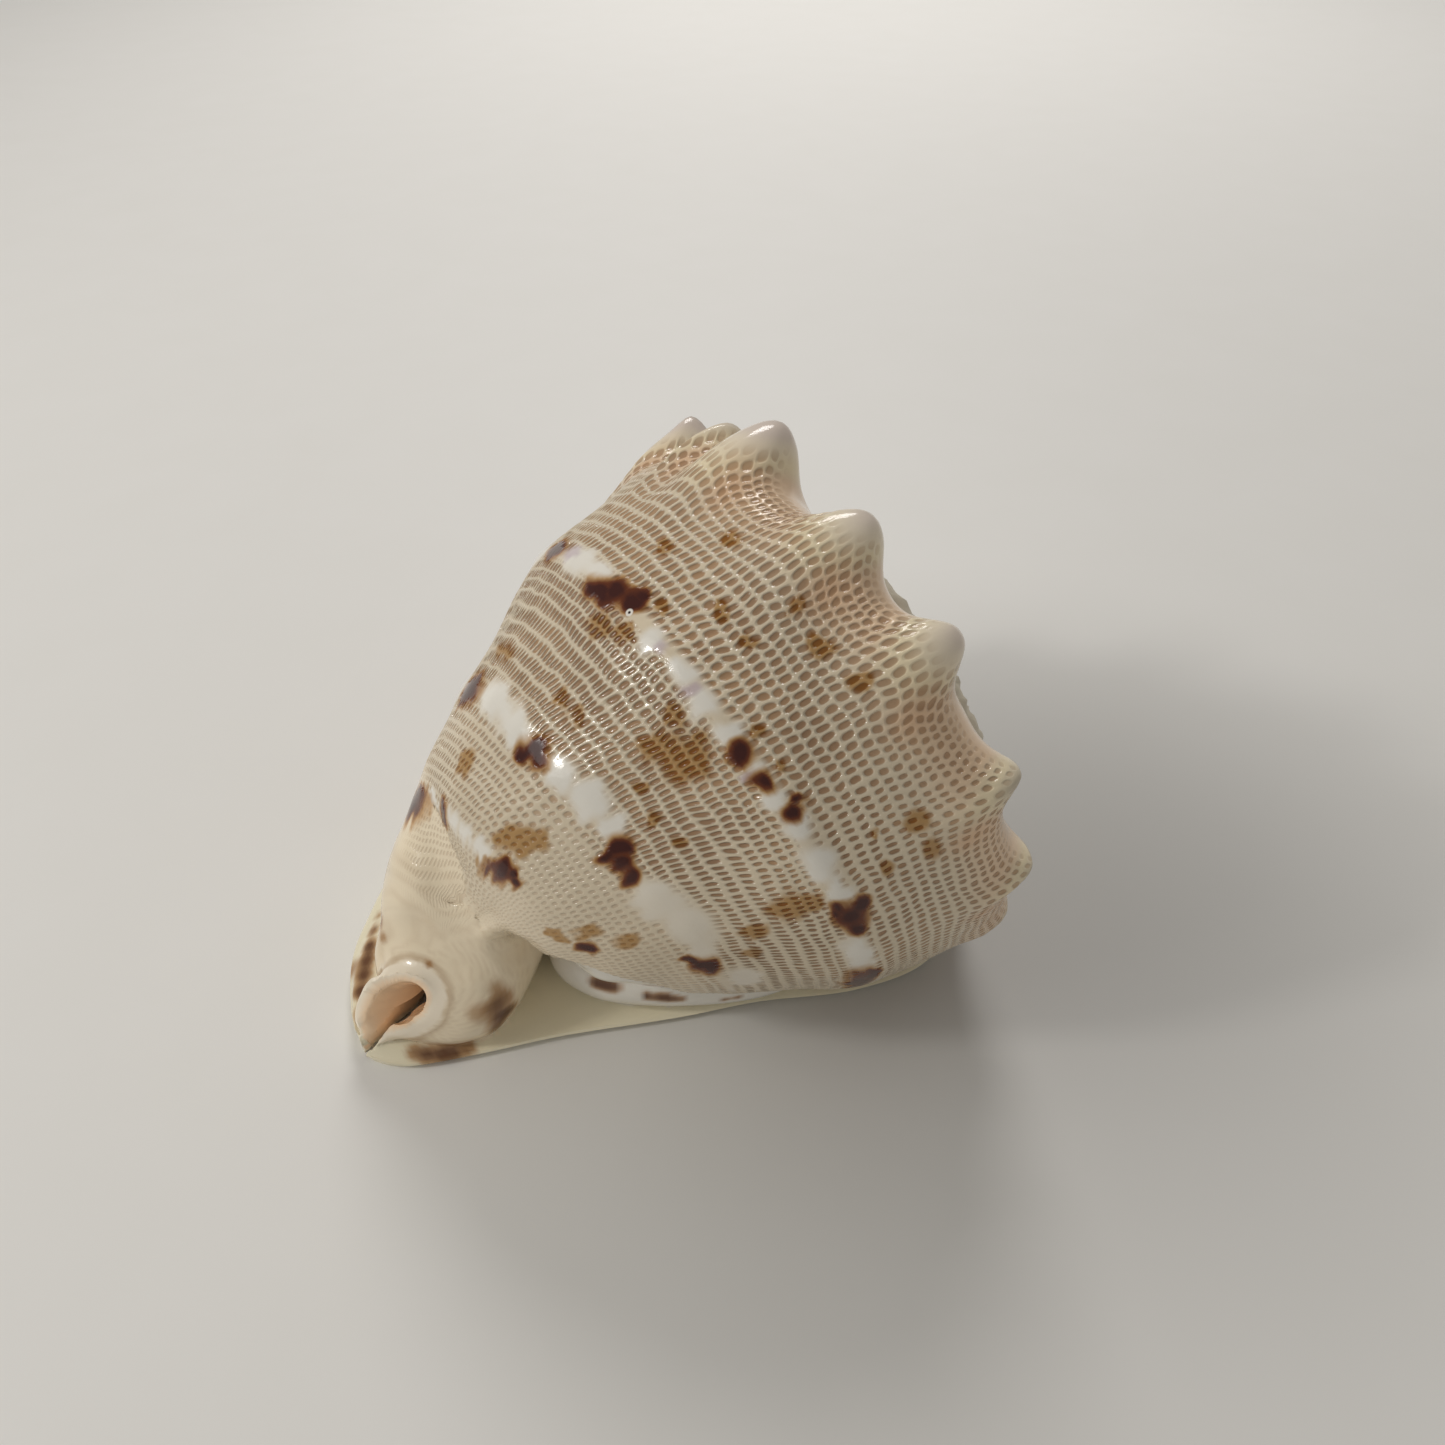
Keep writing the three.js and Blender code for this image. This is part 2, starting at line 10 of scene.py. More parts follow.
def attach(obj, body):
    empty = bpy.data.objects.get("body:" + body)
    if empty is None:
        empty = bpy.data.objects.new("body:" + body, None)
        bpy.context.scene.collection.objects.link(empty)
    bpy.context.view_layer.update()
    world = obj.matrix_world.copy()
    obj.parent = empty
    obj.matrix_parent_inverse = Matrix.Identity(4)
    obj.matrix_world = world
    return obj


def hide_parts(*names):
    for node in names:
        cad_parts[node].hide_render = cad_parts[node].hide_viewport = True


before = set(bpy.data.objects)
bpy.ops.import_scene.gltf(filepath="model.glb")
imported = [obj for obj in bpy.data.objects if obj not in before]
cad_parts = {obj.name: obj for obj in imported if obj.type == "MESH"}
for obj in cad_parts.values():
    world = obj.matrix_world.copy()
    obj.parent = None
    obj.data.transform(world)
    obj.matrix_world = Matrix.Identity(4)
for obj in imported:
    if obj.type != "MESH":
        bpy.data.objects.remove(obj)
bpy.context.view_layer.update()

MM = 0.001

# Camera: its place, its right and up directions, and the lens
CAMERA_PLACE = (-71.6, -161.6, 227.5)
CAMERA_RIGHT = (0.8594, -0.5112, 0.0)
CAMERA_UP = (0.3487, 0.5861, 0.7314)
FOCAL_LENGTH = 27.03
SENSOR = 36.0
CLIP_START = 0.01

# Floor and light, in metres. A light has a place, an aim, a size, a power and a tint. The window and
# the lamp in it stand at a heading and a height in degrees, and at a distance.
FLOOR_HALF = 4.0
FLOOR_ROUGHNESS = 0.55
# Painted shadow on the floor: the centre of the darker spot and how far it reaches
PAINTED_SHADOW_CENTRE = (0.085, -0.06, 0.0)
PAINTED_SHADOW_REACH = 0.17
SHELL_MIDDLE = (0.0, 0.0, 0.04)
WINDOW_PLACE = (161, 34, 1.18)
WINDOW_TINT = (1.0, 0.98, 0.95)
WINDOW_SIZE, WINDOW_POWER = 0.7, 2.0
LAMP_SIZE, LAMP_POWER = 0.15, 2.7
BACK_PLACE = (0.75, 1.14, 1.36)
BACK_AIM = (0.96, 0.86, 0)
BACK_TINT = (1.0, 0.98, 0.96)
BACK_SIZE, BACK_POWER = 0.8, 14.8
LIGHT_SPREAD = math.radians(180)
ROOM_TINT = (1.0, 0.98, 0.94, 1.0)
ROOM_STRENGTH = 0.32

# The coil
APEX = np.array([75.5, -9.4, 58.5])
AXIS_TILT = math.radians(14.4)
WHORL_GROWTH = 1.43
LIP_ANGLE = 135.0
BASE_SQUARENESS = 2.12
SPIRE_TURNS = 4
SPIRE_SHRINK = 0.985
TURN_GAP = 3.0
ALONG_AXIS = np.array([math.cos(AXIS_TILT), 0.0, math.sin(AXIS_TILT)])
TOWARD_BACK = np.array([-math.sin(AXIS_TILT), 0.0, math.cos(AXIS_TILT)])
TOWARD_LIP = np.array([0.0, 1.0, 0.0])

# Outline of a turn: depth below the spire tip, radius, and how far a full knob moves the row up the
# axis and outward
OUTLINE = np.array([
    (17.5, 48.5, 0, 0), (20.5, 56, 3, 1), (24, 62.5, 8, 2.5), (29, 66.5, 10.5, 4),
    (35, 67.6, 6, 4), (42, 66.8, 2, 2), (50, 65.7, 0, 0), (58, 64.3, 0, 0), (64.5, 62.9, 0, 0),
    (71, 59.8, 0, 0), (80, 54, 0, 0), (87.5, 49.8, 0, 0), (93.3, 46.6, 0, 0), (99, 43.2, 0, 0),
    (107, 38.1, 0, 0), (113.3, 33.2, 0, 0), (118.5, 28, 0, 0), (121.5, 20, 0, 0),
])
LID_DEPTH = 14.0
MIDDLE_DEPTH = 62.0
END_DEPTH = 112.0

# Away from the near side the turn does not end in an edge but runs on into the neck: the depth where
# this starts, the depth (without growth) and radius where it ends, and the angles over which it comes in
FLOW_START = 113.3
FLOW_END = (127.0, 3.0)
FLOW_ANGLES = (-56.0, -28.0)

# Distance along the surface for a step in depth, on the turn's run into the neck and on the neck,
# and where the neck takes over: angle and depth
FLOW_PACE = 2.2
NECK_PACE = 1.15
NECK_SEAM = np.array([(-42, 130), (-26, 127), (-10, 124.5), (0, 123), (11, 121.4), (60, 121)])

# Steps of the mesh: along the outline, and round the coil on the visible side and elsewhere
ROW_STEP = 1.2
FINE_ANGLES = (-118.0, 64.0)
FINE_STEP = 0.5
COARSE_STEP = 1.5
SPIRE_COLUMNS = 220
SPIRE_ROW_STEP = 1.9

# The older turns are worn: their shoulder is a band pushed out by this share of a full knob
SPIRE_PUSH = 0.5

# Shoulder knobs: angle, size, half width in degrees, how blunt the tip is, and its outward share
KNOBS = [
    (126, 0.9, 5.0, 2.0, 1.2), (101, 1.0, 5.0, 2.0, 1.2), (76, 0.8, 4.5, 2.0, 0.9),
    (50, 1.13, 2.9, 1.6, 1.8), (27, 0.8, 2.7, 1.3, 1), (13.1, 1.12, 6.0, 2.3, 1),
    (-14.1, 0.88, 6.2, 2.3, 1), (-38, 0.87, 6.2, 2.3, 1), (-64.8, 0.68, 4.6, 1.4, 1),
    (-89, 0.58, 4.2, 1.3, 1), (-115, 0.35, 4.8, 1.6, 1), (-144, 0.45, 5.0, 1.6, 1),
    (-170, 0.5, 5.0, 1.6, 1), (-197, 0.5, 5.0, 1.6, 1),
]

# The outward share acts on the tip of a knob: the largest pushes of the outline, and how closely it
# keeps to the tip
TIP_UP, TIP_OUT = 10.5, 4.0
TIP_POWER = 4

# Bosses on the two upper bands: angle, depth, height
BOSSES = [
    (48, 64.5, 1.0), (18, 64, 0.7), (10.6, 64, 0.7), (-9.5, 65, 0.6), (-17.6, 64.6, 0.7),
    (-24.4, 65, 0.7), (-31, 65, 0.6), (-45, 65, 0.4), (-51.5, 64.5, 0.5), (-59, 64.5, 0.7),
    (-66.6, 64, 0.6), (-88, 65, 0.7), (52, 93.3, 0.9), (17, 92.5, 0.8), (3.6, 93.4, 0.5),
    (-15, 93, 0.5), (-24.5, 91.8, 0.7), (-53.6, 93.8, 0.6), (-64, 91.5, 0.7),
]
BOSS_HALF_SIZE = (4.6, 3.0)
BOSS_SHARE = 0.7

# The raised net: rows of pits along the spiral, and cells round it, of another width above, between
# and below the two bands. The cells lean: depth and lean in degrees.
BANDS = (64.5, 93.3)
CELL_ANGLES = np.array([1.75, 1.5, 2.1])
CELL_LEAN = np.array([(17, -1.5), (54, 0), (76, 2.6), (102, 9.4), (140, 21.5)])
NEAR_LIP_LEAN = 0.12
NEAR_LIP_ANGLES = (-30.0, 0.0)
NEAR_LIP_DEPTH = 60.0
NET_HEIGHT = 0.3

# Spacing of the rows: distance along the outline, and the spacing there
ROW_SPACING = np.array([
    (0, 2.1), (20, 2.2), (34, 2.5), (44, 2.9), (56, 3.3), (58, 2.4), (65, 2.4), (70, 3.7), (84, 3.5),
    (90, 2.8), (101, 2.2), (115, 2.0), (150, 1.9),
])
SPACING_STEPS = 900
SPACING_REACH = 60.0
DEEP_SPACING = (1.5, 2.1)

# A pit, in shares of a row and of a cell: half sizes, how square it is, and where its colour and its
# slope begin and end. Every second row is moved half a cell, and each row a little more.
PIT_HALF_ROW = 0.41
PIT_HALF_CELL = 0.34
PIT_POWER = 2.6
PIT_EDGE = (0.5, 1.2)
PIT_SLOPE = (0.0, 1.9)
ROW_SHIFT = 0.22
ROW_PACE = 1.7
PIT_NARROWING = 0.9

# Depths and angles over which the net comes and goes
BAND_EDGE = (1.0, 2.0)
SHOULDER_DEPTHS = (24.0, 31.0)
ANTERIOR_DEPTHS = (119.0, 131.0)
FRONT_DEPTHS = (94.0, 99.0)
FORE_DEPTHS = (106.0, 118.0)
UPPER_DEPTHS = (52.0, 40.0)
SIDE_ANGLES = (-42.0, -60.0)
FRONT_SIDE_ANGLES = (-14.0, -28.0)
NECK_NET_ANGLES = (25.0, 45.0)
BACK_JOIN_RADIUS = 9.0

# The old lip edge that shows as a ledge on the near side: angle and depth
LEDGE = [(-230, 62), (-150, 80), (-120, 94), (-104, 101.5), (-90, 107.1), (-77, 113.5), (-62, 120)]
LEDGE_STEP = 1.5
LEDGE_EDGE = (-0.4, 0.6)
NO_LEDGE = 140.0

# The base, from the spire tip: shield edge and lip edge
SHIELD_EDGE = np.array([
    (-151, 1.5), (-147, -3.3), (-142, -6.7), (-128, -11.6), (-110, -17), (-84, -26.7),
    (-66, -32.5), (-43, -42), (-22, -43.5), (-8, -32), (-2, -15), (0, 2),
])
LIP_EDGE = np.array([
    (-151.5, 4), (-150.4, 14), (-146, 27.5), (-138.4, 37.2), (-127, 48.5), (-112, 60), (-92, 71),
    (-68, 79), (-42, 82.5), (-22, 79.5), (-8, 68), (-2, 52), (0, 38),
])
BASE_STATIONS = 130
SHIELD_THICKNESS = 2.0
LIP_THICKNESS = 9.0
TIP_LIP_THICKNESS = 4.0
TIP_LENGTH = 22.0
EDGE_SHARE = 0.006
FLAT_SHARE = 0.02
LIP_SHARE = 0.13
LIP_CROWN = 2
UNDER_POINTS = 14
ROLL_POINTS = 13
UPPER_POINTS = 32

# The dish under the base: height, the shares of the width over which it rises and falls, the widths
# over which it comes in, and the room that the coil leaves above it
DISH = 2.2
DISH_RISE = (0.2, 0.55)
DISH_FALL = (0.75, 0.87)
DISH_WIDTHS = (15, 60)
DISH_ROOM = 0.7
DISH_STATIONS = 40
DISH_MARGIN = 3.0

# Heights where the coil and the neck are cut off inside the base
COIL_TRIM = 1.0
NECK_TRIM = 1.5
TRIM_BOX = 600.0

# The hollow inside the last turn
WALL = 3.5
HOLLOW_STEP = 6.0
HOLLOW_ROW_STEP = 5.0
HOLLOW_GAP = 20.0
HOLLOW_END = 132.0
HOLLOW_LID_DEPTH = 30.0
HOLLOW_FLOOR = 5.0

# The aperture slit: x, middle, half width
APERTURE = np.array([
    (-154, 2.0, 0.5), (-146, 2.9, 0.7), (-140, 4.4, 1.2), (-132, 7.5, 2.2), (-120, 14, 4),
    (-105, 23, 5.5), (-85, 32, 6.2), (-65, 38, 6.5), (-45, 41.5, 6.5), (-25, 43, 5), (-14, 44, 2),
])
APERTURE_STATIONS = 60
APERTURE_TOP = 9.0
APERTURE_BOTTOM = -2.0
APERTURE_FLARE = 1.3

# Teeth of the lip and folds of the columella: count, first and last x, half sizes, reach
LIP_TEETH = (8, -32, -112, (2.6, 5, 2.3), 3)
COLUMELLA_FOLDS = (10, -28, -116, (1.6, 7, 2), 2.5)
TOOTH_HEIGHT = 2.6
TOOTH_SIDES, TOOTH_RINGS = 18, 11

# The neck: x, y, height, half width and half height of its upper side; its bore: x, y, height, radius
NECK = np.array([
    (-100, 18.6, 33, 21, 31), (-109.8, 16, 27, 20.6, 28), (-117.8, 12.5, 21, 19.8, 25),
    (-123.8, 7.1, 16.5, 18.4, 22.3), (-128.9, 3.4, 14, 17.6, 19.6), (-133.4, 0.8, 13.4, 15.2, 16.8),
    (-137.4, 0.3, 14.6, 12.6, 13.6), (-140.6, 1, 16.4, 10, 10),
])
BORE = np.array([
    (-96, 20, 22, 8), (-110, 13, 15, 6.5), (-122, 6.5, 10.5, 5.4), (-131, 2.6, 9.8, 4.8),
    (-137.4, 1.5, 12.2, 4.6), (-141.2, 0.3, 16.8, 6),
])

# The rim of the canal, seen along the canal: outer and inner edge as angle and radius. Both run out
# into a tip at the lower left, where the rim is slit. The shares say how much of the neck's length
# takes the rim's shape and turns to face its way.
RIM_FACING = np.array([-0.623, -0.703, 0.342])
RIM_SHARE = 0.36
FACING_SHARE = 0.74
OUTER_RIM = np.array([
    (-180, 8.4), (-158, 7.7), (-129, 7.3), (-99, 8.6), (-83, 9.8), (-73, 11.3), (-66, 14.5),
    (-62, 18.6), (-51, 16), (-35, 13.6), (-19, 11.6), (5, 9), (52, 7.8), (80, 8), (107, 9.3),
    (125, 10.1), (142, 10.4), (159, 9.8), (180, 8.4),
])
INNER_RIM = np.array([
    (-180, 5.3), (-140, 4), (-97, 5.2), (-78, 6.1), (-66, 7.4), (-60, 18.4), (-54, 14.2), (-46, 12.2),
    (-31, 9.8), (-12, 6.9), (30, 5), (71, 5), (101, 6.3), (121, 7.4), (141, 7.7), (153, 7.3),
    (170, 6.1), (180, 5.3),
])

# The older turn that shows as a low white ridge under the ledge: x, y, height, radius
RIDGE = np.array([
    (-92, 8, 9, 7), (-97, -1.1, 9, 8), (-96, -6.8, 9, 8), (-91, -12.7, 9, 8), (-78.2, -21, 9, 8),
    (-63.7, -27.7, 9, 7.5), (-48, -31, 9, 6),
])
RING_SIDES = 80
NECK_RINGS = 44
RIDGE_RINGS = 64

# Names of the regions that the surface is made of
BODY, SPIRE, BASE, NECK_SIDE, INSIDE, RIDGE_SIDE = range(6)

# Joins that are rounded, some only on the lip's side: two regions, how strongly, and how far from
# where they meet
LIP_JOINS = [(BODY, BASE, 0.9, 4.5), (NECK_SIDE, BASE, 0.9, 4.0)]
JOINS = [
    (NECK_SIDE, BASE, 0.5, 2.0), (NECK_SIDE, INSIDE, 0.15, 0.8), (BASE, INSIDE, 0.7, 1.6),
    (BODY, SPIRE, 0.5, 1.5), (BASE, RIDGE_SIDE, 0.5, 1.2), (NECK_SIDE, RIDGE_SIDE, 0.5, 1.2),
]
LIP_SIDE = 14.0
LIP_JOIN_RADIUS = 4.0
FLOW_RADIUS = 8.0
FLOW_FROM_ANGLE = -48.0
RIM_RADIUS = 1.2
SMOOTHING_PACE = 0.6
FLOW_ROUNDS, JOIN_ROUNDS, LIP_ROUNDS, CROWN_ROUNDS = 90, 10, 40, 70

# The crown of the neck is smoothed between these distances from its middle
NECK_CROWN = np.array([-58.5, -6.5, 25.0])
CROWN_RADII = (6.0, 11.0)

# Unevenness: height, wavelength and seed. Rows, cells, marks, body and growth lines have theirs on the
# coil, in degrees and depth.
ROW_WAVE = (0.08, 9.0, 3)
CELL_WAVES = [(0.22, 7.0, 4), (0.5, 45.0, 5)]
BODY_WAVE = (0.22, 24.0, 6)
SPIRE_WAVES = [(0.35, 5.0, 8), (0.3, 2.6, 9)]
NECK_WAVE = (0.12, 9.0, 10)
GROWTH_WAVE = (1.2, 30.0, 12)
MARK_WAVES = [(0.6, 6.0, 21), (0.6, 6.0, 22)]
STAIN_WAVE = (0.08, 6.0, 23)

# Edges that turn more than this stay crisp, away from the rounded forms
SHARP_ANGLE = math.radians(38)


def smoothstep(value, low, high):
    f = np.clip((np.asarray(value, float) - low) / (high - low), 0.0, 1.0)
    return f * f * (3.0 - 2.0 * f)


def smooth_curve(table, x, column=1):
    """Smooth value at x from a table sorted by its first column."""
    xs, ys = table[:, 0].astype(float), table[:, column].astype(float)
    last = len(xs) - 1
    index = np.arange(len(xs))
    before, after = np.maximum(index - 1, 0), np.minimum(index + 1, last)
    slopes = (ys[after] - ys[before]) / (xs[after] - xs[before])
    x = np.clip(np.asarray(x, float), xs[0], xs[-1])
    i = np.clip(np.searchsorted(xs, x) - 1, 0, last - 1)
    span = xs[i + 1] - xs[i]
    f = (x - xs[i]) / span
    return ((2 * f**3 - 3 * f**2 + 1) * ys[i] + (f**3 - 2 * f**2 + f) * slopes[i] * span
            + (3 * f**2 - 2 * f**3) * ys[i + 1] + (f**3 - f**2) * slopes[i + 1] * span)


def waves(points, wavelength, seed, count=14):
    """Smooth random variation of about -1 to 1 over points of any dimension."""
    rng = np.random.default_rng(seed)
    directions = rng.normal(size=(count, points.shape[1]))
    directions /= np.linalg.norm(directions, axis=1)[:, None]
    pace = 2 * math.pi / wavelength * rng.uniform(0.6, 1.5, count)
    phases = rng.uniform(0, 2 * math.pi, count)
    total = np.zeros(len(points))
    for direction, rate, phase in zip(directions, pace, phases):
        total += np.sin(points @ direction * rate + phase)
    return total / math.sqrt(count)


def uneven(points, *layers):
    return sum(height * waves(points, wavelength, seed) for height, wavelength, seed in layers)


def growth(angle):
    return WHORL_GROWTH ** (np.asarray(angle, float) / 360.0)


def axis_point(depth):
    return APEX - np.multiply.outer(np.asarray(depth, float), ALONG_AXIS)


def fullness(turn):
    cosine, sine = np.abs(np.cos(turn)), np.abs(np.sin(turn))
    squared = (cosine**BASE_SQUARENESS + sine**BASE_SQUARENESS) ** (-1.0 / BASE_SQUARENESS)
    return np.where(np.cos(turn) > 0, 1.0, squared)


def coil_point(angle, depth, radius):
    angle, depth, radius = np.broadcast_arrays(angle, depth, radius)
    turn = np.radians(angle)
    reach = radius * growth(angle) * fullness(turn)
    return (axis_point(depth * growth(angle)) + np.multiply.outer(np.cos(turn) * reach, TOWARD_BACK)
            + np.multiply.outer(np.sin(turn) * reach, TOWARD_LIP))


def knob_push(angle):
    """How far the nearest knob pushes its rows, and how much further outward its tip."""
    here = LIP_ANGLE - np.mod(LIP_ANGLE - np.asarray(angle, float), 360.0)
    sizes = np.array([size * np.exp(-np.abs((here - place) / width) ** blunt)
                      for place, size, width, blunt, _ in KNOBS])
    shares = np.array([knob[4] for knob in KNOBS])
    return sizes.max(axis=0), sizes.max(axis=0) * (shares[sizes.argmax(axis=0)] - 1.0)


def outline_rows(step):
    """Rows along the outline at an even spacing: depth, radius, up, out and distance."""
    runs = np.hypot(np.diff(OUTLINE[:, 0]), np.diff(OUTLINE[:, 1]))
    distance = np.concatenate([[0.0], np.cumsum(runs)])
    table = np.column_stack([distance, OUTLINE])
    places = np.linspace(0.0, distance[-1], int(round(distance[-1] / step)) + 1)
    return np.column_stack([smooth_curve(table, places, c) for c in (1, 2, 3, 4)] + [places])


def turn_end(turns_back):
    return LIP_ANGLE - (360.0 - 2 * TURN_GAP) * turns_back


def turn_start(turns_back):
    return turn_end(turns_back) - 360.0 + TURN_GAP


def grid_triangles(columns, rows, offset):
    c, r = np.meshgrid(np.arange(columns - 1), np.arange(rows - 1), indexing="ij")
    corner = (offset + c * rows + r).ravel()
    first = np.column_stack([corner, corner + 1, corner + rows + 1])
    second = np.column_stack([corner, corner + rows + 1, corner + rows])
    return np.concatenate([first, second])


def wedge(points, axis_depths):
    """A closed wedge of the coil from a grid of points (columns, rows, 3) down to the axis."""
    columns, rows = points.shape[:2]
    vertices = np.concatenate([axis_point(axis_depths), points.reshape(-1, 3)])
    lid, middle, end = 0, 1, 2
    triangles = [grid_triangles(columns, rows, 3)]
    first = 3 + np.arange(columns) * rows
    last = first + rows - 1
    fans = np.column_stack([np.full(columns - 1, lid), first[:-1], first[1:]])
    floors = np.column_stack([last[:-1], np.full(columns - 1, end), last[1:]])
    triangles += [fans, floors]
    for column in (0, columns - 1):
        rim = np.concatenate([[lid], 3 + column * rows + np.arange(rows), [end]])
        cap = np.column_stack([np.full(len(rim) - 1, middle), rim[1:], rim[:-1]])
        triangles.append(cap if column == 0 else cap[:, [0, 2, 1]])
    return vertices, np.concatenate(triangles)


def loft(rings):
    """A closed solid through rings (count, sides, 3), with a fan over each end."""
    count, sides = rings.shape[:2]
    vertices = np.concatenate([rings.reshape(-1, 3), [rings[0].mean(0)], [rings[-1].mean(0)]])
    triangles = []
    j = np.arange(sides)
    following = (j + 1) % sides
    for i in range(count - 1):
        a, b = i * sides + j, i * sides + following
        triangles.append(np.column_stack([a, b, b + sides]))
        triangles.append(np.column_stack([a, b + sides, a + sides]))
    hub = count * sides
    triangles.append(np.column_stack([np.full(sides, hub), following, j]))
    far = (count - 1) * sides
    triangles.append(np.column_stack([np.full(sides, hub + 1), far + j, far + following]))
    return vertices, np.concatenate(triangles)


def outward(vertices, triangles):
    a, b, c = (vertices[triangles[:, k]] for k in range(3))
    volume = np.einsum("ij,ij->i", a, np.cross(b, c)).sum()
    return triangles if volume > 0 else triangles[:, [0, 2, 1]]


def body_columns():
    low, high = FINE_ANGLES
    start, end = turn_start(0), turn_end(0)
    parts = [np.arange(start, low, COARSE_STEP), np.arange(low, high, FINE_STEP),
             np.arange(high, end, COARSE_STEP), [end]]
    return np.concatenate(parts)


def knobbed_outline(angles, rows):
    """Depth and radius of every row at every angle, with the knobs."""
    size, extra = (push[:, None] for push in knob_push(angles))
    tip = TIP_OUT * (rows[:, 2] / TIP_UP) ** TIP_POWER
    return rows[:, 0] - size * rows[:, 2], rows[:, 1] + size * rows[:, 3] + extra * tip


def flowing_outline(angles, rows):
    """Depth, radius and distance of every row of the last turn, with its run into the neck."""
    depth, radius = knobbed_outline(angles, rows)
    past = np.clip((rows[:, 0] - FLOW_START) / (OUTLINE[-1, 0] - FLOW_START), 0.0, 1.0)
    share = smoothstep(angles, *FLOW_ANGLES)[:, None] * (past > 0)
    start_radius = float(smooth_curve(OUTLINE, FLOW_START))
    start_distance = np.interp(FLOW_START, rows[:, 0], rows[:, 4])
    stretch = FLOW_END[0] / growth(angles)[:, None] - FLOW_START
    depth = depth + share * (FLOW_START + past * stretch - depth)
    radius = radius + share * (start_radius + past * (FLOW_END[1] - start_radius) - radius)
    distance = rows[:, 4] + share * (start_distance + FLOW_PACE * past * stretch - rows[:, 4])
    return depth, radius, distance


def spire_turn(turns_back):
    angles = np.linspace(turn_start(turns_back), turn_end(turns_back), SPIRE_COLUMNS)
    rows = outline_rows(SPIRE_ROW_STEP)
    depth, radius = rows[:, 0] - SPIRE_PUSH * rows[:, 2], rows[:, 1] + SPIRE_PUSH * rows[:, 3]
    grid = coil_point(angles[:, None], depth, radius)
    shrink = SPIRE_SHRINK**turns_back
    grid = APEX + (grid - APEX) * shrink
    scale = growth(-360.0 * turns_back) * shrink
    return wedge(grid, np.array([LID_DEPTH, MIDDLE_DEPTH, END_DEPTH]) * scale)


def hollow():
    angles = np.arange(turn_start(0) + HOLLOW_GAP, HOLLOW_END, HOLLOW_STEP)
    rows = outline_rows(HOLLOW_ROW_STEP)
    run = np.gradient(rows[:, :2], axis=0)
    run /= np.linalg.norm(run, axis=1)[:, None]
    inset = (WALL / growth(angles))[:, None]
    grid = coil_point(angles[:, None], rows[:, 0] + run[:, 1] * inset, rows[:, 1] - run[:, 0] * inset)
    return wedge(grid, np.array([HOLLOW_LID_DEPTH, MIDDLE_DEPTH, END_DEPTH]))


def dish_height(place, width):
    """Height of the dished underside, at a share of the base's width."""
    rise = float(smoothstep(place, *DISH_RISE) - smoothstep(place, *DISH_FALL))
    return DISH * float(smoothstep(width, *DISH_WIDTHS)) * rise


def dish_room():
    """The dish made a little deeper, which the coil stays out of."""
    rings = []
    start, end = SHIELD_EDGE[0, 0] + DISH_MARGIN, SHIELD_EDGE[-1, 0] - DISH_MARGIN
    places = np.linspace(DISH_RISE[0], DISH_FALL[1], UNDER_POINTS)
    for x in np.linspace(start, end, DISH_STATIONS):
        shield = float(smooth_curve(SHIELD_EDGE, x))
        width = float(smooth_curve(LIP_EDGE, x)) - shield
        section = [(f, dish_height(f, width) + DISH_ROOM) for f in places]
        section += [(places[-1], -COIL_TRIM), (places[0], -COIL_TRIM)]
        rings.append([(APEX[0] + x, APEX[1] + shield + f * width, z) for f, z in section])
    return loft(np.array(rings))


def base_section(x):
    """One section across the base, going round from the shield edge under the lip and back."""
    shield = float(smooth_curve(SHIELD_EDGE, x))
    lip_edge = float(smooth_curve(LIP_EDGE, x))
    width = lip_edge - shield
    thick = TIP_LIP_THICKNESS + (LIP_THICKNESS - TIP_LIP_THICKNESS) * float(
        smoothstep(x - SHIELD_EDGE[0, 0], 0, TIP_LENGTH))
    roll = min(thick / 2, width / 6)
    inner = lip_edge - max(LIP_SHARE * width, 1.4 * roll)
    under = [(shield, SHIELD_THICKNESS * 0.8), (shield + EDGE_SHARE * width, SHIELD_THICKNESS * 0.5)]
    for f in np.linspace(0, 1, UNDER_POINTS):
        y = shield + FLAT_SHARE * width + f * (inner - shield - FLAT_SHARE * width)
        under.append((y, dish_height((y - shield) / width, width)))
    turns = np.linspace(-math.pi / 2, math.pi / 2, ROLL_POINTS)
    lip_roll = [(lip_edge - roll + roll * math.cos(a), thick / 2 + thick / 2 * math.sin(a))
                for a in turns]
    top = np.array([
        (FLAT_SHARE, SHIELD_THICKNESS), (0.12, 1.5 * SHIELD_THICKNESS), (0.35, 2.5 * SHIELD_THICKNESS),
        (0.6, thick + LIP_CROWN), (1 - LIP_SHARE - roll / width, thick + LIP_CROWN),
        (1 - roll / width, thick),
    ])
    places = np.linspace(1 - roll / width, FLAT_SHARE, UPPER_POINTS)[1:]
    heights = np.interp(places, top[:, 0], top[:, 1])
    upper = [(shield + f * width, z) for f, z in zip(places, heights)]
    upper.append((shield + EDGE_SHARE * width, SHIELD_THICKNESS))
    section = np.array(under + lip_roll + upper)
    return np.column_stack([np.full(len(section), APEX[0] + x), APEX[1] + section[:, 0], section[:, 1]])


def base_solid():
    start, end = SHIELD_EDGE[0, 0], SHIELD_EDGE[-1, 0]
    eased = 0.5 - 0.5 * np.cos(np.linspace(0, math.pi, BASE_STATIONS))
    return loft(np.array([base_section(x) for x in start + (end - start) * eased]))


def aperture_solid():
    rings = []
    for x in np.linspace(APERTURE[0, 0], APERTURE[-1, 0], APERTURE_STATIONS):
        middle = float(smooth_curve(APERTURE, x, 1))
        half = float(smooth_curve(APERTURE, x, 2))
        flare = APERTURE_FLARE * half
        section = [(-flare, APERTURE_BOTTOM), (-half, DISH), (-half, APERTURE_TOP),
                   (half, APERTURE_TOP), (half, DISH), (flare, APERTURE_BOTTOM)]
        rings.append([(APEX[0] + x, APEX[1] + middle + y, z) for y, z in section])
    return loft(np.array(rings))


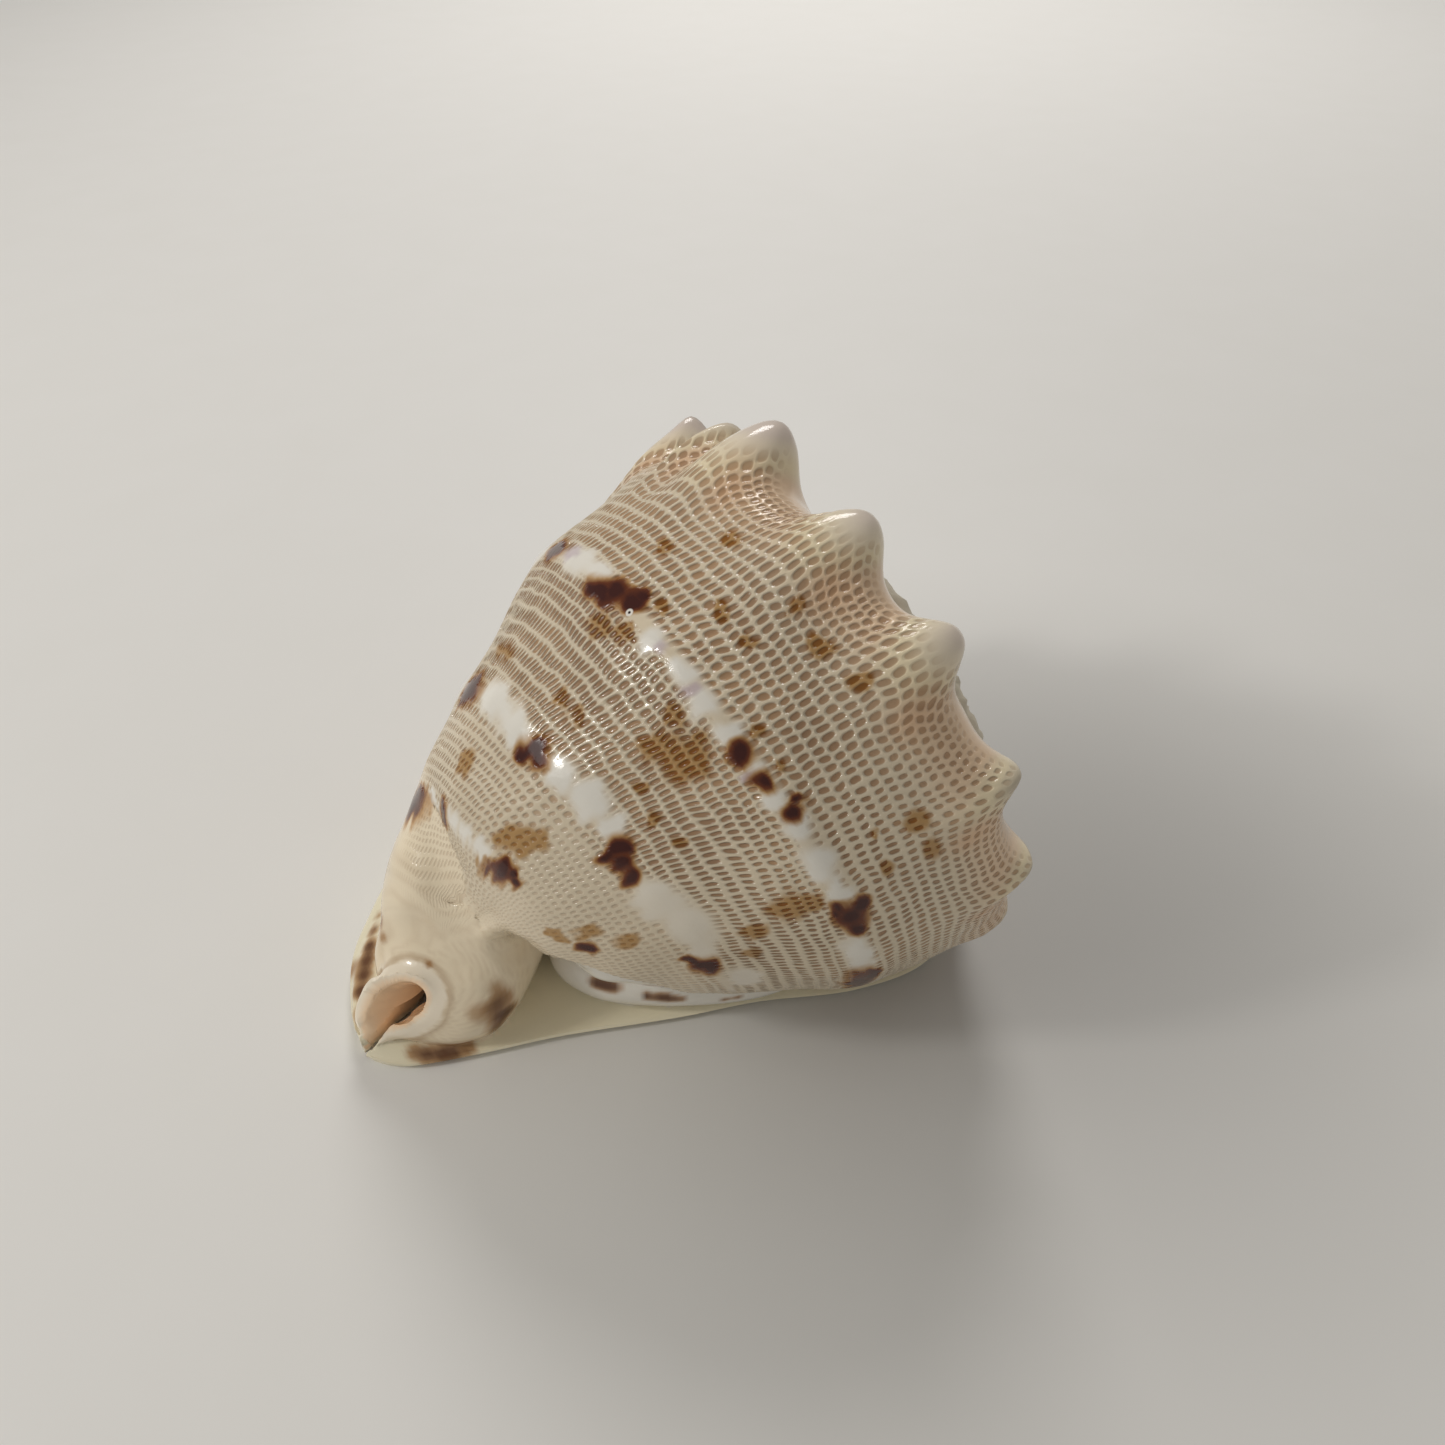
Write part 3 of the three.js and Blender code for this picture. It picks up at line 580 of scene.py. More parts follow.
def tube(stations, rings, rim=None):
    """A tube along smooth stations given as x, y, height, half width and, where it differs, half
    height of the upper side. Its end takes the shape of a rim, if there is one."""
    keys = np.column_stack([np.arange(len(stations)), stations])
    places = np.linspace(0, len(stations) - 1, rings)
    x, y, z, wide, high = (smooth_curve(keys, places, c) for c in (1, 2, 3, 4, -1))
    centres = np.column_stack([APEX[0] + x, APEX[1] + y, z])
    forward = np.gradient(centres, axis=0)
    forward /= np.linalg.norm(forward, axis=1)[:, None]
    turns = np.linspace(0, 2 * math.pi, RING_SIDES, endpoint=False)
    cosine, sine = np.cos(turns), np.sin(turns)
    across = np.multiply.outer(wide, cosine)
    upward = np.where(sine > 0, np.multiply.outer(high, sine), np.multiply.outer(wide, sine))
    if rim is not None:
        share = smoothstep(places / places[-1], 1.0 - RIM_SHARE, 1.0)[:, None]
        facing = np.clip(1.0 - (1.0 - places / places[-1]) / FACING_SHARE, 0.0, 1.0)[:, None]
        forward = forward + facing * (RIM_FACING - forward)
        forward /= np.linalg.norm(forward, axis=1)[:, None]
        reach = smooth_curve(rim, np.mod(np.degrees(turns) + 180.0, 360.0) - 180.0)
        across = across + share * (reach * cosine - across)
        upward = upward + share * (reach * sine - upward)
    side = np.cross(forward, [0, 0, 1.0])
    side /= np.linalg.norm(side, axis=1)[:, None]
    rise = np.cross(side, forward)
    return loft(centres[:, None] + across[..., None] * side[:, None] + upward[..., None] * rise[:, None])


def ellipsoid(centre, half_sizes):
    tilt = np.linspace(-math.pi / 2, math.pi / 2, TOOTH_RINGS + 2)[1:-1]
    turn = np.linspace(0, 2 * math.pi, TOOTH_SIDES, endpoint=False)
    ring = np.stack([np.multiply.outer(np.cos(tilt), np.cos(turn)),
                     np.multiply.outer(np.cos(tilt), np.sin(turn)),
                     np.multiply.outer(np.sin(tilt), np.ones(TOOTH_SIDES))], axis=2)
    return loft(np.asarray(centre) + ring * np.asarray(half_sizes))


def teeth(row, side):
    count, first, last, sizes, reach = row
    solids = []
    for x in np.linspace(first, last, count):
        middle = float(smooth_curve(APERTURE, x, 1))
        half = float(smooth_curve(APERTURE, x, 2))
        y = middle + side * (half + sizes[1] - reach)
        solids.append(ellipsoid((APEX[0] + x, APEX[1] + y, TOOTH_HEIGHT), sizes))
    return solids


def box_above(height):
    half = TRIM_BOX / 2
    corners = np.array([(x, y, z) for x in (-half, half) for y in (-half, half)
                        for z in (height, height + TRIM_BOX)])
    faces = [(0, 1, 3), (0, 3, 2), (4, 6, 7), (4, 7, 5), (0, 4, 5), (0, 5, 1),
             (2, 3, 7), (2, 7, 6), (0, 2, 6), (0, 6, 4), (1, 5, 7), (1, 7, 3)]
    return corners, np.array(faces)


def mesh_object(name, solid):
    vertices, triangles = solid
    mesh = bpy.data.meshes.new(name)
    mesh.from_pydata(vertices.tolist(), [], outward(vertices, triangles).tolist())
    mesh.update()
    obj = bpy.data.objects.new(name, mesh)
    bpy.context.scene.collection.objects.link(obj)
    return obj


def combine(target, solid, operation):
    """Adds a solid to the target object, cuts it away or keeps what they share."""
    other = mesh_object("cutter", solid)
    modifier = target.modifiers.new("join", "BOOLEAN")
    modifier.operation = operation
    modifier.solver = "MANIFOLD"
    modifier.object = other
    graph = bpy.context.evaluated_depsgraph_get()
    result = bpy.data.meshes.new_from_object(target.evaluated_get(graph))
    target.modifiers.clear()
    old = target.data
    target.data = result
    bpy.data.meshes.remove(old)
    used = other.data
    bpy.data.objects.remove(other)
    bpy.data.meshes.remove(used)


def trimmed(solid, height):
    """What is left of a solid above a height."""
    part = mesh_object("trimmed", solid)
    combine(part, box_above(height), "INTERSECT")
    arrays = mesh_arrays(part.data)
    bpy.data.objects.remove(part)
    return arrays


def mesh_arrays(mesh):
    vertices = np.empty(len(mesh.vertices) * 3)
    mesh.vertices.foreach_get("co", vertices)
    mesh.calc_loop_triangles()
    triangles = np.empty(len(mesh.loop_triangles) * 3, dtype=np.int64)
    mesh.loop_triangles.foreach_get("vertices", triangles)
    return vertices.reshape(-1, 3), triangles.reshape(-1, 3)


# The plain forms, joined into one closed surface
row_table = outline_rows(ROW_STEP)
column_angles = body_columns()
body_depth, body_radius, body_distance = flowing_outline(column_angles, row_table)
body_points = coil_point(column_angles[:, None], body_depth, body_radius)
body_solid = wedge(body_points, np.array([LID_DEPTH, MIDDLE_DEPTH, END_DEPTH]))
neck_trimmed = trimmed(tube(NECK, NECK_RINGS, OUTER_RIM), NECK_TRIM)
hollow_trimmed = trimmed(hollow(), HOLLOW_FLOOR)
bore_solid = tube(BORE, NECK_RINGS, INNER_RIM)
ridge_solid = tube(RIDGE, RIDGE_RINGS)
base = base_solid()
spire_solids = [spire_turn(k) for k in range(1, SPIRE_TURNS + 1)]

shell = mesh_object("helmet_shell", body_solid)
combine(shell, box_above(COIL_TRIM), "INTERSECT")
combine(shell, dish_room(), "DIFFERENCE")
combine(shell, base, "UNION")
combine(shell, neck_trimmed, "UNION")
combine(shell, ridge_solid, "UNION")
combine(shell, hollow_trimmed, "DIFFERENCE")
combine(shell, aperture_solid(), "DIFFERENCE")
combine(shell, bore_solid, "DIFFERENCE")
for solid in spire_solids + teeth(LIP_TEETH, 1) + teeth(COLUMELLA_FOLDS, -1):
    combine(shell, solid, "UNION")
vertices, triangles = mesh_arrays(shell.data)


# What each point of the surface belongs to, and its place on the coil
def surface_sources():
    """Points of every form with its region, angle, outline distance and outline depth."""
    angle_grid = np.repeat(column_angles, len(row_table))
    flat_depth = body_depth + knob_push(column_angles)[0][:, None] * row_table[:, 2]
    sources = [(body_points.reshape(-1, 3), BODY, angle_grid, body_distance.ravel(),
                flat_depth.ravel())]
    groups = [(SPIRE, spire_solids), (BASE, [base]), (NECK_SIDE, [neck_trimmed]),
              (RIDGE_SIDE, [ridge_solid]),
              (INSIDE, [bore_solid, aperture_solid(), hollow_trimmed]),
              (BASE, teeth(LIP_TEETH, 1) + teeth(COLUMELLA_FOLDS, -1))]
    for region, solids in groups:
        for points, _ in solids:
            nothing = np.zeros(len(points))
            sources.append((points, region, nothing, nothing, nothing))
    return sources


def nearest(points, targets):
    """Index of and distance to the nearest of the points, for each target."""
    tree = kdtree.KDTree(len(points))
    for i, point in enumerate(points):
        tree.insert(point, i)
    tree.balance()
    found = [tree.find(target)[1:] for target in targets]
    return np.array([f[0] for f in found]), np.array([f[1] for f in found])


sources = surface_sources()
source_points = np.concatenate([s[0] for s in sources])
source_region = np.concatenate([np.full(len(s[0]), s[1]) for s in sources])
source_values = np.column_stack([np.concatenate([s[k] for s in sources]) for k in (2, 3, 4)])
match, _ = nearest(source_points, vertices)
region = source_region[match]
angle, distance, depth = source_values[match].T
on_body = region == BODY
on_neck = region == NECK_SIDE
on_coil = on_body | on_neck


def coil_place(points):
    """Angle and outline depth of points near the last turn."""
    offset = points - APEX
    turn = np.degrees(np.arctan2(offset @ TOWARD_LIP, offset @ TOWARD_BACK))
    turn = LIP_ANGLE - np.mod(LIP_ANGLE - turn, 360.0)
    return turn, -(offset @ ALONG_AXIS) / growth(turn)


# The neck carries on the coordinates of the turn
neck_angle, neck_depth = coil_place(vertices)
angle = np.where(on_neck, neck_angle, angle)
depth = np.where(on_neck, neck_depth, depth)
seam = np.interp(neck_angle, NECK_SEAM[:, 0], NECK_SEAM[:, 1])
beyond = (np.interp(FLOW_START, row_table[:, 0], row_table[:, 4])
          + FLOW_PACE * (np.minimum(neck_depth, seam) - FLOW_START)
          + NECK_PACE * np.maximum(neck_depth - seam, 0.0))
on_outline = np.interp(neck_depth, row_table[:, 0], row_table[:, 4])
distance = np.where(on_neck, np.where(neck_depth > FLOW_START, beyond, on_outline), distance)

edges = np.concatenate([triangles[:, [0, 1]], triangles[:, [1, 2]], triangles[:, [2, 0]]])
edges = np.unique(np.sort(edges, axis=1), axis=0)
edge_regions = np.sort(region[edges], axis=1)


# Joins between forms are rounded, so that the shell looks grown as one piece
def soften_weight(first, second, radius, keep=None):
    """How much to smooth each point, fading with distance from where two regions meet."""
    pair = sorted((first, second))
    meeting = np.unique(edges[(edge_regions == pair).all(axis=1)])
    if keep is not None:
        meeting = meeting[keep[meeting]]
    if len(meeting) == 0:
        return np.zeros(len(vertices))
    _, gap = nearest(vertices[meeting], vertices)
    return 1.0 - smoothstep(gap, 0.0, radius)


def smoothed(points, weight, rounds):
    count = np.bincount(edges.ravel(), minlength=len(points))
    for _ in range(rounds):
        total = np.column_stack([
            np.bincount(edges[:, 0], points[edges[:, 1], k], len(points))
            + np.bincount(edges[:, 1], points[edges[:, 0], k], len(points)) for k in range(3)])
        points = points + (SMOOTHING_PACE * weight)[:, None] * (total / count[:, None] - points)
    return points


flow_weight = soften_weight(BODY, NECK_SIDE, FLOW_RADIUS, neck_angle > FLOW_FROM_ANGLE)
lip_side = vertices[:, 1] - APEX[1] > LIP_SIDE
join_weights = [share * soften_weight(a, b, radius, lip_side) for a, b, share, radius in LIP_JOINS]
join_weights += [share * soften_weight(a, b, radius) for a, b, share, radius in JOINS]
vertices = smoothed(vertices, flow_weight, FLOW_ROUNDS)
vertices = smoothed(vertices, np.max(join_weights, axis=0), JOIN_ROUNDS)
lip_join = soften_weight(BODY, BASE, LIP_JOIN_RADIUS, lip_side)
vertices = smoothed(vertices, lip_join, LIP_ROUNDS)
rim_gap = 1.0 - soften_weight(NECK_SIDE, INSIDE, RIM_RADIUS)
crown_gap = np.linalg.norm(vertices - NECK_CROWN, axis=1)
crown_weight = np.where(on_neck, rim_gap * (1.0 - smoothstep(crown_gap, *CROWN_RADII)), 0.0)
vertices = smoothed(vertices, crown_weight, CROWN_ROUNDS)
vertices[:, 2] = np.maximum(vertices[:, 2], 0.0)


def point_normals(points):
    a, b, c = (points[triangles[:, k]] for k in range(3))
    face = np.cross(b - a, c - a)
    total = np.column_stack([
        sum(np.bincount(triangles[:, k], face[:, j], len(points)) for k in range(3)) for j in range(3)])
    return total / np.maximum(np.linalg.norm(total, axis=1), 1e-9)[:, None]


# Markings of the back, as places on the coil: angle, depth, half size along the spiral and along
# the axis
DARK_MARKS = [
    (35.3, 93.7, 6.1, 3), (-5.9, 93.6, 3.1, 2.4), (-3.1, 95.5, 1.8, 1.4), (13.3, 114.3, 2.2, 2.3),
    (47.5, 115.7, 8.1, 2.5), (-22.2, 112.7, 2.3, 2), (-17.4, 115.1, 1.5, 1.3),
    (-27.5, 112.8, 1.2, 1.2), (-37.8, 92.5, 2.1, 1.9), (-37.8, 96.1, 1.3, 1.9),
    (-45.4, 94.7, 1.7, 1.7), (-41.4, 94.5, 1.5, 1.3), (-35.1, 65.2, 2.1, 2.1), (-41.5, 65.3, 2, 1.4),
    (-48.4, 63.5, 1.6, 1.5), (-47.1, 61, 1.2, 1), (-74.3, 63.8, 3.3, 2.5), (-78.8, 64.1, 2.3, 1.3),
    (-71.1, 66.2, 1.8, 1.2), (-72.3, 60.7, 2.1, 1.2), (-82.2, 93.8, 2.9, 2.3), (-78.2, 95.8, 1.9, 1.3),
    (-105.6, 67.1, 9, 2.4), (-99.6, 64, 3.8, 1.3), (7, 66.4, 4.3, 2), (4.1, 63.5, 3, 1.9),
    (-0.6, 63.1, 2.5, 1.8), (-0.4, 61, 1.6, 1.2), (32.3, 63.7, 5.1, 2.6), (-62.6, 111.1, 1.6, 1.5),
    (62, 64, 3, 2.6), (88, 65, 3.4, 2.8), (112, 64, 3, 3), (70, 93, 2.6, 2.4), (101, 94, 3, 2.4),
    (-128, 65, 3, 2), (-152, 64, 2.8, 2.2),
]
OCHRE_MARKS = [
    (13.3, 104.5, 2.9, 2.3), (-21.9, 105.1, 3.2, 3.2), (-16.2, 108.3, 2.4, 2.2),
    (-8.2, 83.8, 2.4, 1.9), (-1.5, 84.1, 2.5, 1.7), (27.3, 84.5, 6.4, 1.5), (-24.6, 76.4, 3, 2.6),
    (-30.4, 73.9, 4.7, 4.4), (-22.4, 70.9, 2.3, 2), (-36.7, 84.5, 1.5, 1.7), (-29.3, 83.1, 1.2, 1.3),
    (-43.8, 83.4, 1.4, 1.8), (-2.9, 41.6, 2.9, 2.3), (5.1, 51.1, 2.8, 1.8), (-20.3, 52.2, 1.5, 1.4),
    (-27.4, 42, 2.4, 2.3), (-35.8, 42.1, 1.6, 1.8), (-20.2, 41.9, 1.5, 1.5), (-13.1, 52.1, 1.4, 1.3),
    (-5.5, 60.1, 2.1, 1.6), (-59.8, 52.5, 1.7, 1.3), (-67, 53.2, 1.9, 1.3), (-61.3, 44.7, 2.2, 2.3),
    (-67.7, 44.2, 2.9, 1.7), (-67, 73.6, 3.7, 3.3), (-71.6, 81.1, 2.4, 2.3), (-79.9, 84.3, 2.2, 1.7),
    (-67.1, 69.2, 2.3, 2), (-55.9, 108.8, 1.9, 2.5), (-63.7, 103.7, 2.2, 2.4),
    (-50.6, 114.3, 1.9, 1.4), (-12.2, 115.7, 1.6, 1.3), (-28.9, 69.1, 1.5, 1.3),
    (-33.7, 60.6, 1.2, 1.3), (-40.3, 60.8, 1.5, 1.3), (1.4, 70.2, 3.3, 2.2), (-4.7, 68.2, 2.4, 1.8),
    (58, 78, 3, 3), (84, 50, 3, 2.6), (104, 80, 3, 3), (-140, 50, 2.6, 2.6), (-52, 114.6, 1.8, 0.8),
    (-56, 114.2, 1.8, 0.8),
]
WHITE_MARKS = [
    (18.7, 63.8, 6.7, 2.8), (10.6, 63.4, 3.7, 2.1), (-9.5, 65.3, 2.9, 2.4), (-17.6, 64.6, 2.7, 2.4),
    (-24.4, 65.4, 2.8, 2.6), (-31, 65.1, 2.3, 2.4), (-38.5, 65.4, 1.4, 1.7), (-45, 65.1, 1.8, 1.9),
    (-51.5, 64.3, 2.4, 2.4), (-59.1, 64.5, 3.7, 2.9), (-66.6, 63.8, 3.4, 2.5), (-87.7, 65.5, 7.1, 2.7),
    (16.2, 92.3, 7.8, 3.4), (3.6, 93.4, 4.5, 3), (-15, 93, 3.1, 2.8), (-24.5, 91.7, 3.7, 3.8),
    (-32.8, 91.7, 2.4, 2.4), (-53.6, 93.8, 4.1, 4.4), (-64.1, 91.3, 5.7, 4.2), (-73.9, 92.5, 3.1, 2.2),
    (-93.2, 88.7, 5.7, 2.9), (26.3, 113.9, 4.3, 1.3), (5.8, 113.1, 2.5, 1.5), (-2.7, 113.2, 2, 1.5),
    (-11, 113.3, 2.1, 1.8), (45, 64.5, 6, 3.4), (75, 64.5, 7, 3.4), (100, 64.5, 6, 3.4),
    (54, 93, 7, 4.4), (85, 93, 7, 4.4), (-115, 64.5, 6, 3.4), (-140, 64.5, 6, 3.4),
]
LILAC_MARKS = [
    (23.1, 63.3, 6, 2), (-21.2, 65.8, 1.7, 1.5), (-38.9, 66.1, 1.3, 1.6), (-48.8, 64, 1.8, 1.7),
    (-12, 65.4, 1.9, 1.6),
]

# Brown stains off the bands: place in millimetres, radius, and strength
STAINS = [
    (-24.2, -24.3, 12.4, 2.0, 1), (-22.5, -25.6, 12.3, 2.0, 1), (-20.8, -26.8, 12.0, 2.0, 1),
    (-14.6, -32.2, 10.4, 1.7, 1), (-12.6, -33.7, 10.0, 1.7, 1), (-10.6, -35.2, 9.8, 1.7, 1),
    (-8.8, -36.6, 9.5, 1.5, 1), (3.1, -42.0, 8.6, 1.1, 1), (1.2, -41.2, 8.2, 1.0, 1),
    (-61, 23.5, 8.5, 1.6, 0.5), (-63.4, 20, 8.2, 2.0, 0.8), (-65.6, 16.2, 8, 2.4, 1),
    (-67.6, 12.8, 7.5, 2.6, 1), (-69.5, 9.4, 6.9, 2.8, 1), (-71.1, 5.9, 6.5, 2.6, 1), (-72, 0, 6, 3, 1),
    (-70.5, 14, 4.6, 3, 0.6), (-60.6, 12, 27, 1.8, 0.5), (-61.6, 9, 28, 2.0, 0.8),
    (-62.8, 6.4, 27, 2.2, 0.9), (-64, 3, 25.4, 2.2, 1),
    (-64.8, -0.4, 24.6, 1.8, 0.8), (-65.6, -13.4, 2.4, 2.2, 0.7), (-63, -15.2, 2.2, 2.4, 1),
    (-60.4, -16.8, 2.1, 2.4, 1), (-57.4, -18, 2.1, 2.4, 1), (-54.7, -18.8, 2.1, 2.2, 0.8),
    (-47, -20.2, 15, 2.6, 0.7), (-46.6, -20.4, 11.2, 3, 0.9), (-47.6, -19.9, 7, 2.8, 0.8),
    (-50.6, -19.8, 14.8, 3.2, 0.4), (-44.4, -19.3, 16, 3, 0.7), (-44.2, -19.8, 11, 3, 1),
    (-45, -19, 20, 2.4, 0.4), (-56.1, -8.8, 24.7, 1.2, 0.7),
]
STAIN_FADE = (0.2, 1.45)
STAIN_SHARE = 0.9

# How readily neighbouring marks run together: the lower, the more
MARK_MERGE = 3.5

# Where the white and dark marks and the knobs clear the net away
CLEAR_WHITE = (-0.45, 0.15)
CLEAR_DARK = (-0.2, 0.2)
CLEAR_KNOB = (0.3, 0.75)


def field(marks):
    """1 in the middle of a mark, 0 at its edge and below 0 outside it; neighbours run together."""
    total = np.full(len(vertices), 1e-6)
    scale = growth(angle)
    radius = smooth_curve(OUTLINE, depth, 1)
    for place, level, half_along, half_across in marks:
        along = (np.radians(angle - place) * radius * scale + stray_along) / half_along
        across = ((depth - level) * scale + stray_across) / half_across
        total += np.exp(-MARK_MERGE * np.hypot(along, across))
    best = np.clip(1.0 + np.log(total) / MARK_MERGE, -1.0, 1.0)
    return np.where(on_coil, best, -1.0)


def stain_amount():
    """How strongly the stains colour each point."""
    untouched = np.ones(len(vertices))
    ragged_edge = uneven(vertices, STAIN_WAVE)
    for x, y, z, radius, strength in STAINS:
        gap = np.linalg.norm(vertices - (x, y, z), axis=1) / radius + ragged_edge
        untouched *= 1.0 - STAIN_SHARE * strength * (1.0 - smoothstep(gap, *STAIN_FADE))
    return 1.0 - untouched


coil_plane = np.column_stack([angle, depth])
stray_along, stray_across = (uneven(coil_plane, wave) for wave in MARK_WAVES)
dark = field(DARK_MARKS)
ochre = field(OCHRE_MARKS)
white = field(WHITE_MARKS)
lilac = field(LILAC_MARKS)
ledge_depth = np.interp(angle, [p[0] for p in LEDGE], [p[1] for p in LEDGE], right=NO_LEDGE)
strip = np.where(on_body, smoothstep(depth - ledge_depth, *LEDGE_EDGE), 0.0)
on_knob = knob_push(angle)[0] * smooth_curve(OUTLINE, depth, 2) / OUTLINE[:, 2].max()
shoulder = 1.0 - smoothstep(depth, *SHOULDER_DEPTHS)
anterior = smoothstep(depth, *ANTERIOR_DEPTHS)
plain = np.max([smoothstep(white, *CLEAR_WHITE), smoothstep(dark, *CLEAR_DARK),
                smoothstep(on_knob, *CLEAR_KNOB), shoulder, anterior, strip], axis=0)
net = np.where(on_coil, 1.0 - plain, 0.0)
band_distances = np.interp(BANDS, row_table[:, 0], row_table[:, 4])
for band_distance in band_distances:
    net *= smoothstep(np.abs(distance - band_distance), *BAND_EDGE)

# It is deepest in the middle of the back and fades toward the shoulder, the front end and the ledge
near_front = smoothstep(depth, *FRONT_DEPTHS)
near_side = smoothstep(angle, *SIDE_ANGLES)
net *= 1.0 - 0.15 * smoothstep(depth, *UPPER_DEPTHS)
net *= 1.0 - 0.35 * near_front
net *= 1.0 - 0.5 * smoothstep(depth, *FORE_DEPTHS)
net *= 1.0 - 0.5 * near_front * smoothstep(angle, *FRONT_SIDE_ANGLES)
pit_narrowing = 1.0 + PIT_NARROWING * np.maximum(near_front, near_side)

# It ends at the neck on the far side, and where the coil meets the other forms
back_join = soften_weight(BODY, NECK_SIDE, BACK_JOIN_RADIUS, neck_angle > NECK_NET_ANGLES[1])
net *= 1.0 - back_join
net *= np.where(on_neck, 1.0 - smoothstep(angle, *NECK_NET_ANGLES), 1.0)
net[edges[on_coil[edges[:, 0]] != on_coil[edges[:, 1]]]] = 0.0

# Net coordinates: a whole number of rows along the outline and of cells round the coil
fine_distance = np.linspace(0, row_table[-1, 4] + SPACING_REACH, SPACING_STEPS)
fine_spacing = np.interp(fine_distance, ROW_SPACING[:, 0], ROW_SPACING[:, 1])
fine_rows = np.concatenate([[0], np.cumsum(np.diff(fine_distance) / fine_spacing[1:])])
fine_rows -= np.interp(band_distances[1], fine_distance, fine_rows)
net_row = np.interp(distance, fine_distance, fine_rows)
cell_angle = CELL_ANGLES[np.searchsorted(band_distances, distance)]
net_row += uneven(coil_plane, ROW_WAVE)
lean = np.interp(depth, CELL_LEAN[:, 0], CELL_LEAN[:, 1])
lean += NEAR_LIP_LEAN * smoothstep(angle, *NEAR_LIP_ANGLES) * (depth - NEAR_LIP_DEPTH)
bends = uneven(coil_plane, *CELL_WAVES)
net_cell = (angle - lean + bends) / cell_angle


def pit_depth(row, cell):
    whole = np.floor(row)
    shift = 0.5 * np.mod(whole, 2) + ROW_SHIFT * np.sin(whole * ROW_PACE)
    across = np.abs(row - whole - 0.5) / PIT_HALF_ROW
    moved = cell + shift
    along = np.abs(moved - np.floor(moved) - 0.5) / PIT_HALF_CELL
    return 1.0 - smoothstep((across**PIT_POWER + along**PIT_POWER) * pit_narrowing, *PIT_SLOPE)


# Relief: the pits, the bosses, the ledge and some unevenness, none of it at the join with the lip
spacing = np.interp(distance, ROW_SPACING[:, 0], ROW_SPACING[:, 1])
pits = pit_depth(net_row, net_cell) * smoothstep(spacing, *DEEP_SPACING)
relief = np.zeros(len(vertices))
relief -= NET_HEIGHT * net * growth(angle) * pits
scale_here = growth(angle) * smooth_curve(OUTLINE, depth, 1)
for place, level, height in BOSSES:
    along = np.radians(angle - place) * scale_here / BOSS_HALF_SIZE[0]
    across = (depth - level) / BOSS_HALF_SIZE[1]
    relief += np.where(on_body, BOSS_SHARE * height * np.exp(-along**2 - across**2), 0.0)
relief -= LEDGE_STEP * strip
relief += np.where(on_body, uneven(coil_plane, BODY_WAVE), 0.0)
eroded = region == SPIRE
relief += np.where(eroded, uneven(vertices, *SPIRE_WAVES), 0.0)
relief += np.where(on_neck, uneven(vertices, NECK_WAVE), 0.0)
relief *= 1.0 - smoothstep(lip_join, 0.0, 0.6)
lifted = vertices + point_normals(vertices) * relief[:, None]
lifted[:, 2] = np.maximum(lifted[:, 2], 0.0)


# Base tones, before the pits and marks are laid over them
def colour(code):
    """Linear colour from a hexadecimal screen colour."""
    screen = np.array([int(code[k:k + 2], 16) / 255.0 for k in (0, 2, 4)])
    return np.where(screen <= 0.04045, screen / 12.92, ((screen + 0.055) / 1.055) ** 2.4)


NET_TONE = colour("ddceb4")
WHITE_TONE = colour("ece7dc")
LILAC_TONE = colour("c5b3b8")
PEACH_TONE = colour("eac29c")
IVORY_TONE = colour("f3e3c6")
SHIELD_TONE = colour("ebe2c6")
RIM_TONE = colour("fbeed8")
# The inside's own peach, made near white as painted light for the glow through the thin shell
CANAL_TONE_AND_GLOW = colour("ffdfba")
GREY_TONE = colour("d2c8b4")
HOLE_SHADE_TONE = colour("5a3a28")
# Tone of the growth lines, also used for the painted shadow behind the canal's rim
GROWTH_AND_SHADOW_TONE = colour("a8845c")
WORN_TONE = colour("a79d88")
STAIN_EDGE_TONE = colour("a8763c")
STAIN_TONE = colour("4d2410")
TIP_TONE = colour("e8dccb")
CREAM_TONE = colour("ecdcb9")
FLANK_TONE = colour("d8a274")

# Ranges over which a tone comes in: of a mark's field, of the height on a knob, of depth, of angle,
# and of nearness to the canal's rim
WHITE_RANGE = (-0.35, 0.4)
LILAC_RANGE = (-0.1, 0.6)
CREAM_RANGE = (0.1, 0.45)
TIP_RANGE = (0.35, 0.8)
TIP_END_RANGE = (0.7, 0.95)
VALLEY_KNOB_RANGE = (0.1, 0.4)
VALLEY_DEPTHS = (44, 30)
DULL_ANGLES = (-40.0, -55.0)
DULL_DEPTHS = (80.0, 88.0)
WORN_ANGLES = (-50.0, -60.0)
FLANK_DEPTH, FLANK_HALF_DEPTH = 36.0, 5.0
FLANK_PLACE, FLANK_HALF_WIDTH = -1.15, 0.55
GROWTH_PACE = 2.6
GROWTH_DEPTHS = (117.0, 124.0)
# Where the painted shade deep in the bore comes in, along x from the spire tip
HOLE_SHADE_PLACES = (-129, -120)
RIM_PLACE = -125
RIM_REACH = 8.0
# Nearness to the rim over which the painted shadow behind the rim comes in and goes
RIM_SHADOW_BAND = (0.3, 0.5, 0.62, 0.72)
RIM_RANGE = (0.66, 0.74)
STAIN_EDGE_RANGE = (0.0, 0.5)
STAIN_RANGE = (0.35, 1.0)

tone = np.tile(NET_TONE, (len(vertices), 1))


def lay(amount, over):
    """Lays a tone over what is there, by an amount of 0 to 1 at each point."""
    global tone
    tone = tone + np.clip(amount, 0, 1)[:, None] * (over - tone)


